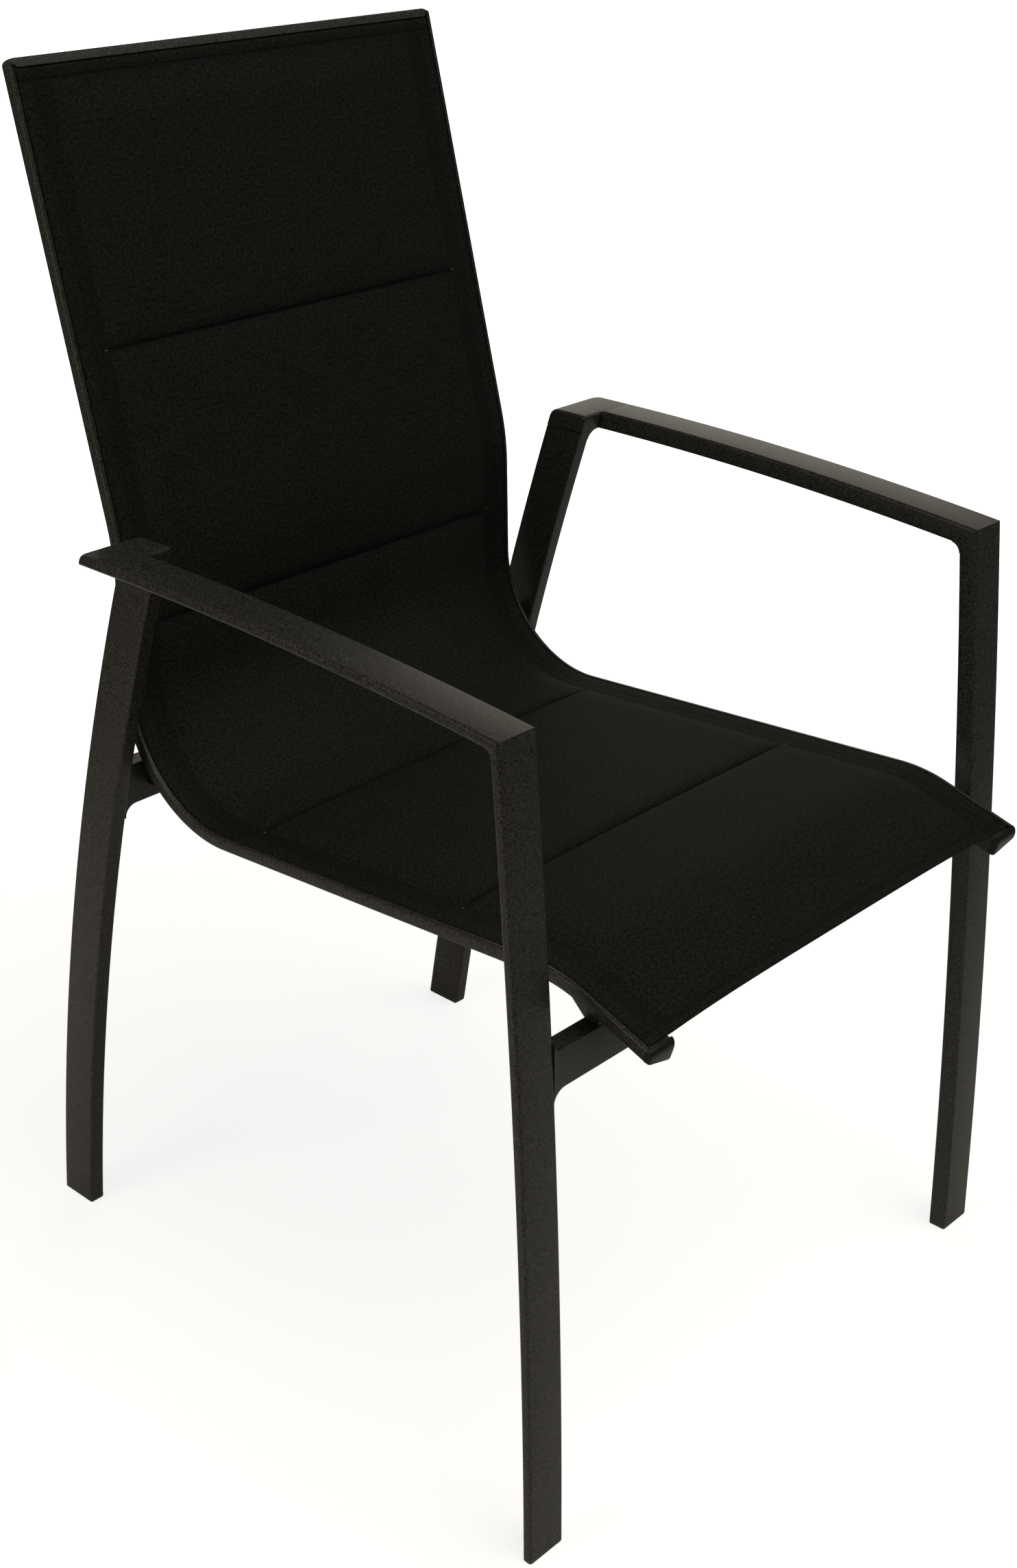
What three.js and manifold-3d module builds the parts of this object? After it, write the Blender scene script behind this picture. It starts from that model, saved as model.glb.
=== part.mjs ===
// Sling patio chair: a stacking frame of flat aluminium tube that carries a padded sling.
// Millimetres. +Z is up, the front faces -Y, +X is the sitter's left, and the floor is z = 0.
import * as THREE from 'three';
import { mergeVertices } from 'three/addons/utils/BufferGeometryUtils.js';
import Module from 'manifold-3d';

const wasm = await Module();
wasm.setup();

// Driving places of the side view, each [y, z]: the outer faces of the frame
const armFront = [-254, 648.3];
const armRear = [168.8, 665.8];
const frontFoot = [-288.2, 0];
const rearFoot = [335, 0];

// and the lip of the sling rails, from the top of the back to the front of the seat
const backTop = [298.8, 991.4];
const backBend = [209, 634.3];
const seatRear = [209.8, 424.7];
const seatFront = [-246.5, 456.3];
const seatTip = [-328.1, 430.6];

// How far the middle of each run bows outwards
const armBow = 6.1;
const frontLegBow = 6.6;
const rearLegBow = 17.6;

// The wedge-shaped tube of the armrests and front legs
const armHalfSpan = 285.4;
const armWidth = 35;
const armOuterEdge = 8;
const armInnerEdge = 16.5;
const frontLegSplay = 3;

// The narrow deep tube of the rear legs, which stand further in than the armrests
const rearLegInset = 22.4;
const rearLegWidth = 14.2;
const rearLegDepth = 38.3;
const rearLegSideBow = 4.2;

// What all tubes share
const tubeWall = 2;
const edgeRound = 2.3;
const weldGap = 0.3;
const fitGap = 0.3;
const overrun = 5;
const weldBite = 1;

// Bends of the rails, and how far each place of the lip lies inside the armrests
const backBendRadius = 200;
const seatRearRadius = 98;
const seatFrontRadius = 129;
const backTopInset = 37;
const backBendInset = 35.1;
const seatRearInset = 30.6;
const seatFrontInset = 31;
const seatTipInset = 27.5;

// Section of the rails and of the top bar: a wedge that is deeper towards the middle of the chair
const railWidth = 26;
const railDepth = 10.3;
const railInnerDepth = 19;
const railWall = 1.6;
const railRound = 1.5;
const lipWidth = 3.6;
const lipRound = 1.6;
const lipHeight = 2.2;
const slotWidth = 1.8;
const channelRadius = 3;
const channelInset = 6.5;
const channelDepth = 6;
const topCornerRound = 8;

// The sling
const clothThick = 0.8;
const clothGap = 0.3;
const paddingEdge = 0.6;
const sideStitchInset = 29;
const hemWidth = 20;
const paddingShoulder = 7;
const frontHemGap = 2.2;
const frontHem = 9;
const seamRuns = [215.6, 428.4, 652.4, 868.1];
const seamHalfWidth = 13;
const backCrown = 3;
const seatCrown = 6;
const underCrown = 1.5;
const cornerLift = 12;
const cornerLiftReach = 62;
const frontLift = 5.8;
const crownFade = 26;

// Number of flat steps on curved surfaces
const roundSteps = 2;
const bowSteps = 8;
const backBendSteps = 3;
const seatRearSteps = 12;
const seatFrontSteps = 5;
const channelSteps = 7;
const filletSteps = 3;
const cornerSteps = 4;

const across = new THREE.Vector3(1, 0, 0);
const upward = new THREE.Vector3(0, 0, 1);

// Directions of the side view as vectors of the chair
const sidePoint = ([y, z]) => new THREE.Vector3(0, y, z);
const outOf = (along) => new THREE.Vector3(0, along.z, -along.y);

// A gently bowed run between two points. at(share) gives a place, the direction of travel
// and the direction that faces out of the bow.
function bowedRun(from, to, bow) {
  const start = sidePoint(from);
  const end = sidePoint(to);
  const chord = end.clone().sub(start);
  const half = chord.length() / 2;
  const radius = (half * half + bow * bow) / (2 * bow);
  const reach = Math.asin(half / radius);
  const straight = chord.normalize();
  const out = outOf(straight);
  const centre = start.clone().add(end).divideScalar(2).addScaledVector(out, bow - radius);
  const at = (share) => {
    const angle = reach * (2 * share - 1);
    const facing = out.clone().multiplyScalar(Math.cos(angle)).addScaledVector(straight, Math.sin(angle));
    const along = new THREE.Vector3(0, -facing.z, facing.y);
    return { place: centre.clone().addScaledVector(facing, radius), along, out: facing, shift: 0 };
  };
  return { at, length: 2 * radius * reach };
}

// A run of straight stretches with round bends, from corners that each have a place in the side view,
// a radius and a distance from the centre plane. at(run) gives the station at a length from the start.
function bentRun(corners) {
  const pieces = [];
  let length = 0;
  let from = sidePoint(corners[0].place);
  let spanFrom = corners[0].halfSpan;
  const addStraight = (to, spanTo) => {
    const start = from.clone();
    const along = to.clone().sub(start).normalize();
    const size = start.distanceTo(to);
    const spanStart = spanFrom;
    pieces.push({
      start: length,
      end: length + size,
      steps: 1,
      at: (run) => ({
        place: start.clone().addScaledVector(along, run),
        along,
        out: outOf(along),
        shift: THREE.MathUtils.lerp(spanStart, spanTo, run / size),
      }),
    });
    length += size;
    from = to;
    spanFrom = spanTo;
  };
  for (let i = 1; i < corners.length; i++) {
    const corner = corners[i];
    const place = sidePoint(corner.place);
    const into = place.clone().sub(sidePoint(corners[i - 1].place));
    if (!corner.radius) {
      addStraight(place, corner.halfSpan);
      continue;
    }
    const next = corners[i + 1];
    const away = sidePoint(next.place).sub(place);
    const intoLength = into.length();
    const awayLength = away.length();
    const turn = into.angleTo(away);
    const reach = corner.radius * Math.tan(turn / 2);
    into.normalize();
    away.normalize();
    const lean = -Math.sign(into.clone().cross(away).x);
    const spanIn = THREE.MathUtils.lerp(corner.halfSpan, corners[i - 1].halfSpan, reach / intoLength);
    const spanOut = THREE.MathUtils.lerp(corner.halfSpan, next.halfSpan, reach / awayLength);
    addStraight(place.clone().addScaledVector(into, -reach), spanIn);
    const facing = outOf(into);
    const centre = from.clone().addScaledVector(facing, lean * corner.radius);
    const size = corner.radius * turn;
    pieces.push({
      start: length,
      end: length + size,
      steps: corner.steps,
      at: (run) => {
        const angle = run / corner.radius;
        const ahead = Math.cos(angle);
        const aside = lean * Math.sin(angle);
        const out = facing.clone().multiplyScalar(ahead).addScaledVector(into, -aside);
        const along = into.clone().multiplyScalar(ahead).addScaledVector(facing, aside);
        const shift = THREE.MathUtils.lerp(spanIn, spanOut, run / size);
        return { place: centre.clone().addScaledVector(out, -lean * corner.radius), along, out, shift };
      },
    });
    length += size;
    from = place.clone().addScaledVector(away, reach);
    spanFrom = spanOut;
  }
  const at = (run) => {
    const piece = pieces.find((candidate) => run <= candidate.end) ?? pieces[pieces.length - 1];
    return piece.at(run - piece.start);
  };
  return { at, length, pieces };
}

// A polygon with rounded corners, each corner [x, n, radius], as a list of [x, n]
function rounded(corners, steps = roundSteps) {
  return corners.flatMap(([x, n, radius], i) => {
    if (!radius) return [[x, n]];
    const corner = new THREE.Vector2(x, n);
    const back = new THREE.Vector2(...corners.at(i - 1).slice(0, 2)).sub(corner).normalize();
    const ahead = new THREE.Vector2(...corners[(i + 1) % corners.length].slice(0, 2)).sub(corner).normalize();
    const half = Math.acos(THREE.MathUtils.clamp(back.dot(ahead), -1, 1)) / 2;
    const middle = back.clone().add(ahead).normalize();
    const centre = corner.clone().addScaledVector(middle, radius / Math.sin(half));
    const first = corner.clone().addScaledVector(back, radius / Math.tan(half)).sub(centre);
    const last = corner.clone().addScaledVector(ahead, radius / Math.tan(half)).sub(centre);
    const turn = Math.atan2(first.cross(last), first.dot(last));
    return Array.from({ length: steps + 1 }, (_, k) => {
      const spoke = first.clone().rotateAround(new THREE.Vector2(), turn * k / steps).add(centre);
      return [spoke.x, spoke.y];
    });
  });
}

// The ring of a profile [x, n] at a station: x across the chair, n out of the run
const ringAt = (station, profile, shift = 0) => profile.map(([x, n]) => station.place.clone()
  .addScaledVector(across, x + shift)
  .addScaledVector(station.out, n));

// Moves each point of a ring along a direction until it lies in a plane
const slideTo = (ring, along, plane) => ring.map((point) => {
  const reach = plane.place.clone().sub(point).dot(plane.normal) / along.dot(plane.normal);
  return point.clone().addScaledVector(along, reach);
});

// Closed solid over a row of rings that all carry the same points, first the outline and then the hole.
// Each quad is split from its outer to its inner side, so layers on one grid lie parallel.
function skin(rings, outline, hole = []) {
  const count = outline.length + hole.length;
  const points = rings.flat();
  const faces = [];
  for (let i = 0; i + 1 < rings.length; i++) {
    for (const [first, size] of [[0, outline.length], [outline.length, hole.length]]) {
      for (let j = 0; j < size; j++) {
        const a = i * count + first + j;
        const b = i * count + first + (j + 1) % size;
        const outerFirst = Math.abs(points[a].x) > Math.abs(points[b].x);
        if (outerFirst) faces.push([a, b, b + count], [a, b + count, a + count]);
        else faces.push([a, b, a + count], [b, b + count, a + count]);
      }
    }
  }
  const flat = (points) => points.map(([x, n]) => new THREE.Vector2(x, n));
  const holes = hole.length ? [flat(hole)] : [];
  const lid = THREE.ShapeUtils.triangulateShape(flat(outline), holes);
  const last = (rings.length - 1) * count;
  const clockwise = THREE.ShapeUtils.isClockWise(flat(outline));
  for (const [a, ...pair] of lid) {
    const [b, c] = clockwise ? pair.reverse() : pair;
    faces.push([a, c, b], [a + last, b + last, c + last]);
  }
  const volume = faces.reduce((sum, [a, b, c]) => (
    sum + points[a].dot(points[b].clone().cross(points[c]))
  ), 0);
  const turned = volume < 0 ? faces.map(([a, b, c]) => [a, c, b]) : faces;
  const geometry = new THREE.BufferGeometry();
  const values = points.flatMap((point) => point.toArray());
  geometry.setAttribute('position', new THREE.Float32BufferAttribute(values, 3));
  geometry.setIndex(turned.flat());
  return geometry;
}

// Sweeps a profile through stations, with its two ends cut by planes if given
function sweep(stations, outline, hole = [], { startPlane, endPlane } = {}) {
  const profile = [...outline, ...hole];
  const rings = stations.map((station) => ringAt(station, profile, station.shift));
  if (startPlane) rings[0] = slideTo(rings[0], stations[0].along, startPlane);
  if (endPlane) rings.push(slideTo(rings.pop(), stations.at(-1).along, endPlane));
  return skin(rings, outline, hole);
}

// Joins and cuts with closed meshes
const mergeReach = 1e-4;
function solidOf(geometry) {
  const plain = geometry.clone();
  plain.deleteAttribute('normal');
  plain.deleteAttribute('uv');
  const merged = mergeVertices(plain, mergeReach);
  return new wasm.Manifold(new wasm.Mesh({
    numProp: 3,
    vertProperties: new Float32Array(merged.attributes.position.array),
    triVerts: new Uint32Array(merged.index.array),
  }));
}

function geometryOf(solid) {
  const mesh = solid.getMesh();
  const geometry = new THREE.BufferGeometry();
  geometry.setAttribute('position', new THREE.Float32BufferAttribute(mesh.vertProperties, 3));
  geometry.setIndex(Array.from(mesh.triVerts));
  return geometry;
}

function joined(...geometries) {
  return geometryOf(geometries.map(solidOf).reduce((sum, next) => sum.add(next)));
}

function cutFrom(body, ...tools) {
  return geometryOf(tools.map(solidOf).reduce((rest, next) => rest.subtract(next), solidOf(body)));
}

function mirrored(geometry) {
  const flipped = geometry.clone().scale(-1, 1, 1);
  const index = Array.from(flipped.index.array);
  for (let i = 0; i < index.length; i += 3) {
    [index[i], index[i + 1]] = [index[i + 1], index[i]];
  }
  flipped.setIndex(index);
  return flipped;
}

function boxBetween(low, high) {
  const size = high.map((value, i) => value - low[i]);
  const geometry = new THREE.BoxGeometry(...size);
  geometry.translate(...low.map((value, i) => value + size[i] / 2));
  return geometry;
}

const coat = new THREE.MeshStandardMaterial({ color: 0x3b3935, roughness: 0.55, metalness: 0.3 });
const cloth = new THREE.MeshStandardMaterial({ color: 0x1d1c1a, roughness: 0.9, metalness: 0 });
const foam = new THREE.MeshStandardMaterial({ color: 0x8d8b86, roughness: 1, metalness: 0 });
const plastic = new THREE.MeshStandardMaterial({ color: 0x262524, roughness: 0.5, metalness: 0 });
const cordPlastic = new THREE.MeshStandardMaterial({ color: 0x34322f, roughness: 0.7, metalness: 0 });

const chair = new THREE.Group();

function addPiece(name, geometry, material) {
  geometry.computeVertexNormals();
  const mesh = new THREE.Mesh(geometry, material);
  mesh.name = name;
  chair.add(mesh);
}

function addPair(name, geometry, material) {
  addPiece(`${name}_l`, geometry, material);
  addPiece(`${name}_r`, mirrored(geometry), material);
}

// The three bowed runs of the frame. Arms run forwards, front legs down and rear legs up.
const armRun = bowedRun(armRear, armFront, armBow);
const frontLegRun = bowedRun(armFront, frontFoot, frontLegBow);
const rearLegRun = bowedRun(rearFoot, armRear, rearLegBow);
const sharesBetween = (from, to) => Array.from({ length: bowSteps + 1 }, (_, k) => (
  THREE.MathUtils.lerp(from, to, k / bowSteps)
));
const frontLegAt = (share) => ({ ...frontLegRun.at(share), shift: frontLegSplay * share });
const rearLegShift = (share) => rearLegSideBow * 4 * share * (1 - share);
const rearLegAt = (share) => ({ ...rearLegRun.at(share), shift: rearLegShift(share) });

// Wedge profile of arm and front leg: thick towards the sitter, thin on the outside
const armInnerX = armHalfSpan - armWidth;
const wedgeDepth = (x) => THREE.MathUtils.lerp(armInnerEdge, armOuterEdge, (x - armInnerX) / armWidth);
function wedgeProfile(inset, radius) {
  const inner = armInnerX + inset;
  const outer = armHalfSpan - inset;
  return rounded([
    [inner, -wedgeDepth(inner) + inset, radius],
    [outer, -wedgeDepth(outer) + inset, radius],
    [outer, -inset, radius],
    [inner, -inset, radius],
  ]);
}
const wedgeOutline = wedgeProfile(0, edgeRound);
const wedgeHole = wedgeProfile(tubeWall, 0).reverse();

// Mitre where the front leg meets the armrest
const mitrePlace = sidePoint(armFront);
const armAway = armRun.at(1).along.clone().negate();
const legAway = frontLegRun.at(0).along;
const mitreAcross = armAway.clone().sub(legAway).normalize();
const mitreInward = armAway.clone().add(legAway).normalize();
const mitreHalfAngle = armAway.angleTo(legAway) / 2;
const mitrePlane = (side) => ({
  place: mitrePlace.clone().addScaledVector(mitreAcross, side * weldGap / 2),
  normal: mitreAcross,
});

// Web that rounds the inside of the mitre, half of it on each tube. It stops short of the tubes' round edges.
const mitreFilletRadius = 9;
const webInset = edgeRound / 3;
function mitreWeb(side, faceOut) {
  const webRing = (x) => {
    const depth = wedgeDepth(x);
    const inward = (distance) => mitrePlace.clone()
      .addScaledVector(mitreInward, distance / Math.sin(mitreHalfAngle));
    const centre = inward(depth + mitreFilletRadius);
    const fromMiddle = mitreInward.clone().negate();
    const turn = fromMiddle.angleTo(faceOut);
    const arc = Array.from({ length: filletSteps + 1 }, (_, k) => {
      const spoke = fromMiddle.clone().multiplyScalar(Math.sin(turn * (1 - k / filletSteps)))
        .addScaledVector(faceOut, Math.sin(turn * k / filletSteps)).divideScalar(Math.sin(turn));
      return centre.clone().addScaledVector(spoke, mitreFilletRadius);
    });
    const buried = arc.at(-1).clone().addScaledVector(faceOut, weldBite);
    return [inward(depth - weldBite), ...arc, buried].map((point) => (
      point.addScaledVector(mitreAcross, side * weldGap / 2).addScaledVector(across, x)
    ));
  };
  const rings = [webRing(armInnerX + webInset), webRing(armHalfSpan - webInset)];
  const outline = rings[0].map((point) => [point.y, point.z]);
  return skin(rings, outline);
}

// Rear corner, where a casting carries the armrest over to the rear leg
const legTop = rearLegRun.at(1);
const castFront = legTop.place.clone().addScaledVector(legTop.out, -rearLegDepth);
const castShare = castFront.distanceTo(legTop.place) / armRun.length;
const castTop = armRun.at(castShare);

// Armrests
const armPlane = { place: castFront.clone().addScaledVector(legTop.out, -weldGap), normal: legTop.out };
const armStations = sharesBetween(castShare, 1).map((share) => armRun.at(share));
const armEnds = { startPlane: armPlane, endPlane: mitrePlane(1) };
const armTube = sweep(armStations, wedgeOutline, wedgeHole, armEnds);
addPair('armrest', joined(armTube, mitreWeb(1, armRun.at(1).out)), coat);

// Front legs
const glideSole = 5;
const solePlane = { place: upward.clone().multiplyScalar(glideSole + fitGap), normal: upward };
const frontLegStations = sharesBetween(0, 1).map(frontLegAt);
const frontLegEnds = { startPlane: mitrePlane(-1), endPlane: solePlane };
const frontLegTube = sweep(frontLegStations, wedgeOutline, wedgeHole, frontLegEnds);
addPair('front_leg', joined(frontLegTube, mitreWeb(-1, frontLegRun.at(0).out)), coat);

// Rear legs
const rearLegInnerX = armInnerX - rearLegInset;
function rearLegProfile(inset, radius) {
  const inner = rearLegInnerX + inset;
  const outer = rearLegInnerX + rearLegWidth - inset;
  return rounded([
    [inner, inset - rearLegDepth, radius],
    [outer, inset - rearLegDepth, radius],
    [outer, -inset, radius],
    [inner, -inset, radius],
  ]);
}
const rearLegOutline = rearLegProfile(0, edgeRound);
const rearLegHole = rearLegProfile(tubeWall, 0).reverse();
const rearLegStations = sharesBetween(0, 1).map(rearLegAt);
const castDown = castTop.out.clone().negate();
const legTopPlane = {
  place: castTop.place.clone().addScaledVector(castDown, armInnerEdge + weldGap),
  normal: castTop.out,
};
const rearLegEnds = { startPlane: solePlane, endPlane: legTopPlane };
addPair('rear_leg', sweep(rearLegStations, rearLegOutline, rearLegHole, rearLegEnds), coat);

// Corner castings. castPoint finds where a depth under the armrest's top meets the leg's front or rear line.
const castRearRound = 10;
const castPlanRound = 9;
const castSharpRound = edgeRound / 10;
const castEdgeSteps = 3;
const castPlanSteps = 5;
const spigotLength = 25;
const spigotGap = 0.6;
const spigotBite = 3 * spigotGap;
function castPoint(depth, edge, inset = 0) {
  const rear = edge === 'rear';
  const line = (rear ? legTop.place : castFront).clone().addScaledVector(legTop.out, rear ? -inset : inset);
  const level = castTop.place.clone().addScaledVector(castTop.out, -depth);
  return slideTo([line], legTop.along, { place: level, normal: castTop.out })[0];
}
function castRing(x, depth, inset, rearInset, frontInset, frontRadius) {
  const rearRadius = castRearRound - (rearInset + inset) / 2;
  const corners = [
    [castPoint(depth - inset, 'front', frontInset), webInset],
    [castPoint(depth - inset, 'rear', rearInset + inset), webInset],
    [castPoint(inset, 'rear', rearInset + inset), rearRadius],
    [castPoint(inset, 'front', frontInset), frontRadius],
  ];
  const outline = rounded(corners.map(([point, radius]) => [point.y, point.z, radius]), castEdgeSteps);
  return outline.map(([y, z]) => new THREE.Vector3(x, y, z));
}
function castBody() {
  const rings = [];
  for (let k = 0; k <= castEdgeSteps; k++) {
    const angle = Math.PI / 2 * k / castEdgeSteps;
    const inset = edgeRound * (1 - Math.sin(angle));
    const x = rearLegInnerX + edgeRound * (1 - Math.cos(angle));
    rings.push(castRing(x, armInnerEdge, inset, 0, inset, edgeRound));
  }
  rings.push(castRing(armInnerX - edgeRound, armInnerEdge, 0, 0, 0, edgeRound));
  rings.push(castRing(armInnerX, armInnerEdge, 0, 0, 0, castSharpRound));
  for (let k = 0; k <= castPlanSteps; k++) {
    const angle = Math.PI / 2 * k / castPlanSteps;
    const x = armHalfSpan - castPlanRound * (1 - Math.sin(angle));
    const rearInset = castPlanRound * (1 - Math.cos(angle));
    const past = Math.max(0, x - (armHalfSpan - edgeRound));
    const inset = edgeRound - Math.sqrt(Math.max(0, edgeRound ** 2 - past ** 2));
    rings.push(castRing(x, wedgeDepth(x), inset, rearInset, 0, castSharpRound));
  }
  const outline = rings[0].map((point) => [point.y, point.z]);
  return skin(rings, outline);
}
const castWebRadius = 9;
function castWeb() {
  const radius = castWebRadius;
  const top = armInnerEdge;
  const lowShare = 1 - (top + 2 * radius) / rearLegRun.length;
  const wallX = rearLegInnerX + rearLegWidth + rearLegShift(lowShare) + weldGap;
  const arc = Array.from({ length: filletSteps + 1 }, (_, k) => {
    const angle = Math.PI / 2 * k / filletSteps;
    return [wallX + radius * (1 - Math.sin(angle)), top + radius * (1 - Math.cos(angle))];
  });
  const profile = [[wallX, top - weldBite], [wallX + radius, top - weldBite], ...arc];
  const ring = (edge) => profile.map(([x, depth]) => castPoint(depth, edge, edgeRound / 2).setX(x));
  return skin([ring('front'), ring('rear')], profile);
}
const spigot = (stations, profile) => skin(
  stations.map((station) => ringAt(station, profile, station.shift)),
  profile,
);
const legSpigotShares = [
  1 - (armInnerEdge + spigotLength) / rearLegRun.length,
  1 - (armInnerEdge - 2 * weldBite) / rearLegRun.length,
];
const legSpigotGap = tubeWall + spigotGap;
const legSpigot = spigot(legSpigotShares.map(rearLegAt), rearLegProfile(legSpigotGap, 0));
const armSpigotShares = [
  castShare - spigotBite / armRun.length,
  castShare + spigotLength / armRun.length,
];
const armSpigot = spigot(armSpigotShares.map((share) => armRun.at(share)), wedgeProfile(legSpigotGap, 0));
addPair('arm_corner', joined(castBody(), castWeb(), legSpigot, armSpigot), coat);

// Foot glides: a sole under each leg with a plug inside the tube
const glidePlug = 18;
const glideRound = 3;
const glideSteps = 3;
function glide(legAt, share, profileAt) {
  const station = legAt(share);
  const level = (z) => ({ place: upward.clone().multiplyScalar(z), normal: upward });
  const ringAtLevel = (profile, z) => (
    slideTo(ringAt(station, profile, station.shift), station.along, level(z))
  );
  const soleRings = Array.from({ length: glideSteps + 1 }, (_, k) => {
    const angle = Math.PI / 2 * k / glideSteps;
    const inset = glideRound * (1 - Math.sin(angle));
    return ringAtLevel(profileAt(inset, edgeRound - inset / 2), glideRound * (1 - Math.cos(angle)));
  });
  soleRings.push(ringAtLevel(profileAt(0, edgeRound), glideSole));
  const sole = skin(soleRings, profileAt(0, edgeRound));
  const plugProfile = profileAt(legSpigotGap, 0);
  const plugLevels = [glideSole / 2, glideSole + glidePlug];
  const plug = skin(plugLevels.map((z) => ringAtLevel(plugProfile, z)), plugProfile);
  return joined(sole, plug);
}
addPair('foot_glide_front', glide(frontLegAt, 1, wedgeProfile), plastic);
addPair('foot_glide_rear', glide(rearLegAt, 0, rearLegProfile), plastic);

// The run of the sling rails: straight stretches with three bends
const lipCorner = (place, inset, radius = 0, steps = 1) => (
  { place, halfSpan: armInnerX - inset, radius, steps }
);
const railRun = bentRun([
  lipCorner(backTop, backTopInset),
  lipCorner(backBend, backBendInset, backBendRadius, backBendSteps),
  lipCorner(seatRear, seatRearInset, seatRearRadius, seatRearSteps),
  lipCorner(seatFront, seatFrontInset, seatFrontRadius, seatFrontSteps),
  lipCorner(seatTip, seatTipInset),
]);
const [, , , seatRearBend, seatStraight] = railRun.pieces;
const railRuns = [0, ...railRun.pieces.flatMap(({ start, end, steps }) => (
  Array.from({ length: steps }, (_, k) => THREE.MathUtils.lerp(start, end, (k + 1) / steps))
))];
const railTop = railRun.at(0);
const railDepthAt = (inset) => THREE.MathUtils.lerp(railDepth, railInnerDepth, inset / railWidth);

// The rail's lower face at a run and a place across, and the first run on which it passes a test
const underRail = (run, x) => {
  const station = railRun.at(run);
  const depth = railDepthAt(station.shift - x);
  const point = station.place.clone().addScaledVector(station.out, -depth - weldGap);
  return [point.y, point.z];
};
const halvings = 40;
function runWhere(test, x, from, to) {
  let low = from;
  let high = to;
  for (let i = 0; i < halvings; i++) {
    const middle = (low + high) / 2;
    if (test(underRail(middle, x))) high = middle;
    else low = middle;
  }
  return high;
}

// Crossbars: flat tube across the chair that flares into the legs with a radius above and below
const barDepth = 15.5;
const barLowerRound = 11;
const barUpperRound = 6;
function crossbar(halfLength, bottom, height, frontY) {
  const shape = new THREE.Shape();
  const top = bottom + height;
  const quarter = (x, z, radius, from, to) => shape.absarc(x, z, radius, from, to, to < from);
  shape.moveTo(barLowerRound - halfLength, bottom);
  shape.lineTo(halfLength - barLowerRound, bottom);
  quarter(halfLength - barLowerRound, bottom - barLowerRound, barLowerRound, Math.PI / 2, 0);
  shape.lineTo(halfLength, top + barUpperRound);
  quarter(halfLength - barUpperRound, top + barUpperRound, barUpperRound, 0, -Math.PI / 2);
  shape.lineTo(barUpperRound - halfLength, top);
  quarter(barUpperRound - halfLength, top + barUpperRound, barUpperRound, -Math.PI / 2, -Math.PI);
  shape.lineTo(-halfLength, bottom - barLowerRound);
  quarter(barLowerRound - halfLength, bottom - barLowerRound, barLowerRound, Math.PI, Math.PI / 2);
  const geometry = new THREE.ExtrudeGeometry(shape, {
    depth: barDepth,
    bevelEnabled: false,
    curveSegments: cornerSteps,
  });
  geometry.rotateX(Math.PI / 2).translate(0, frontY + barDepth, 0);
  const bore = boxBetween(
    [-halfLength - overrun, frontY + tubeWall, bottom + tubeWall],
    [halfLength + overrun, frontY + barDepth - tubeWall, top - tubeWall],
  );
  return cutFrom(geometry, bore);
}

const frontBarHeight = 31;
const frontBarY = -273.5;
const frontBlockHeight = 13.8;
const blockInset = 12.5;
const frontBlockX = armInnerX - seatFrontInset - blockInset;
const seatRun = seatStraight.start;
const frontBlockRun = runWhere(([y]) => y < frontBarY, frontBlockX, seatRun, railRun.length);
const frontBarTop = underRail(frontBlockRun, frontBlockX)[1] - frontBlockHeight;
const frontBarBottom = frontBarTop - frontBarHeight;
const frontBarShare = 1 - (frontBarTop + barUpperRound) / armFront[1];
addPiece('front_crossbar', crossbar(
  armInnerX + frontLegAt(frontBarShare).shift - weldGap,
  frontBarBottom,
  frontBarHeight,
  frontBarY,
), coat);

const rearBarHeight = 34;
const rearBarAhead = 1.8;
const rearBarRise = 3.3;
const rearBarY = seatRear[0] - rearBarAhead;
const rearBarBottom = seatRear[1] + rearBarRise;
const rearBarTop = rearBarBottom + rearBarHeight;
const rearBarShare = (rearBarTop + barUpperRound) / armRear[1];
addPiece('rear_crossbar', crossbar(
  rearLegInnerX + rearLegShift(rearBarShare) - weldGap,
  rearBarBottom,
  rearBarHeight,
  rearBarY,
), coat);

// Sling rails and top bar: one extrusion with a lip, a slot and a round channel for the edge rod.
// Its profile is [inset, n], where inset is the distance from the outer edge.
const slotMiddle = lipWidth + slotWidth / 2;
const railDeck = -lipHeight;
function railOutline() {
  const channelAngle = (inset) => Math.acos((inset - channelInset) / channelRadius);
  const from = channelAngle(lipWidth + slotWidth);
  const to = channelAngle(lipWidth) - 2 * Math.PI;
  const channel = Array.from({ length: channelSteps + 1 }, (_, k) => {
    const angle = THREE.MathUtils.lerp(from, to, k / channelSteps);
    const inset = channelInset + channelRadius * Math.cos(angle);
    return [inset, channelRadius * Math.sin(angle) - channelDepth, 0];
  });
  return rounded([
    [0, -railDepth, railRound],
    [railWidth, -railInnerDepth, railRound],
    [railWidth, railDeck, railRound],
    [lipWidth + slotWidth, railDeck, 0],
    ...channel,
    [lipWidth, 0, 0],
    [0, 0, lipRound],
  ]);
}
const chamberFrom = channelInset + channelRadius + railWall;
const chamberTo = railWidth - railWall;
const chamber = [
  [chamberFrom, railWall - railDepthAt(chamberFrom)],
  [chamberFrom, railDeck - railWall],
  [chamberTo, railDeck - railWall],
  [chamberTo, railWall - railDepthAt(chamberTo)],
];
const sideways = (profile) => profile.map(([inset, n]) => [-inset, n]);
const cornerMitre = (side) => ({
  place: railTop.place.clone().setX(railTop.shift).addScaledVector(railTop.along, side * weldGap / 2),
  normal: across.clone().add(railTop.along).normalize(),
});
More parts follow.
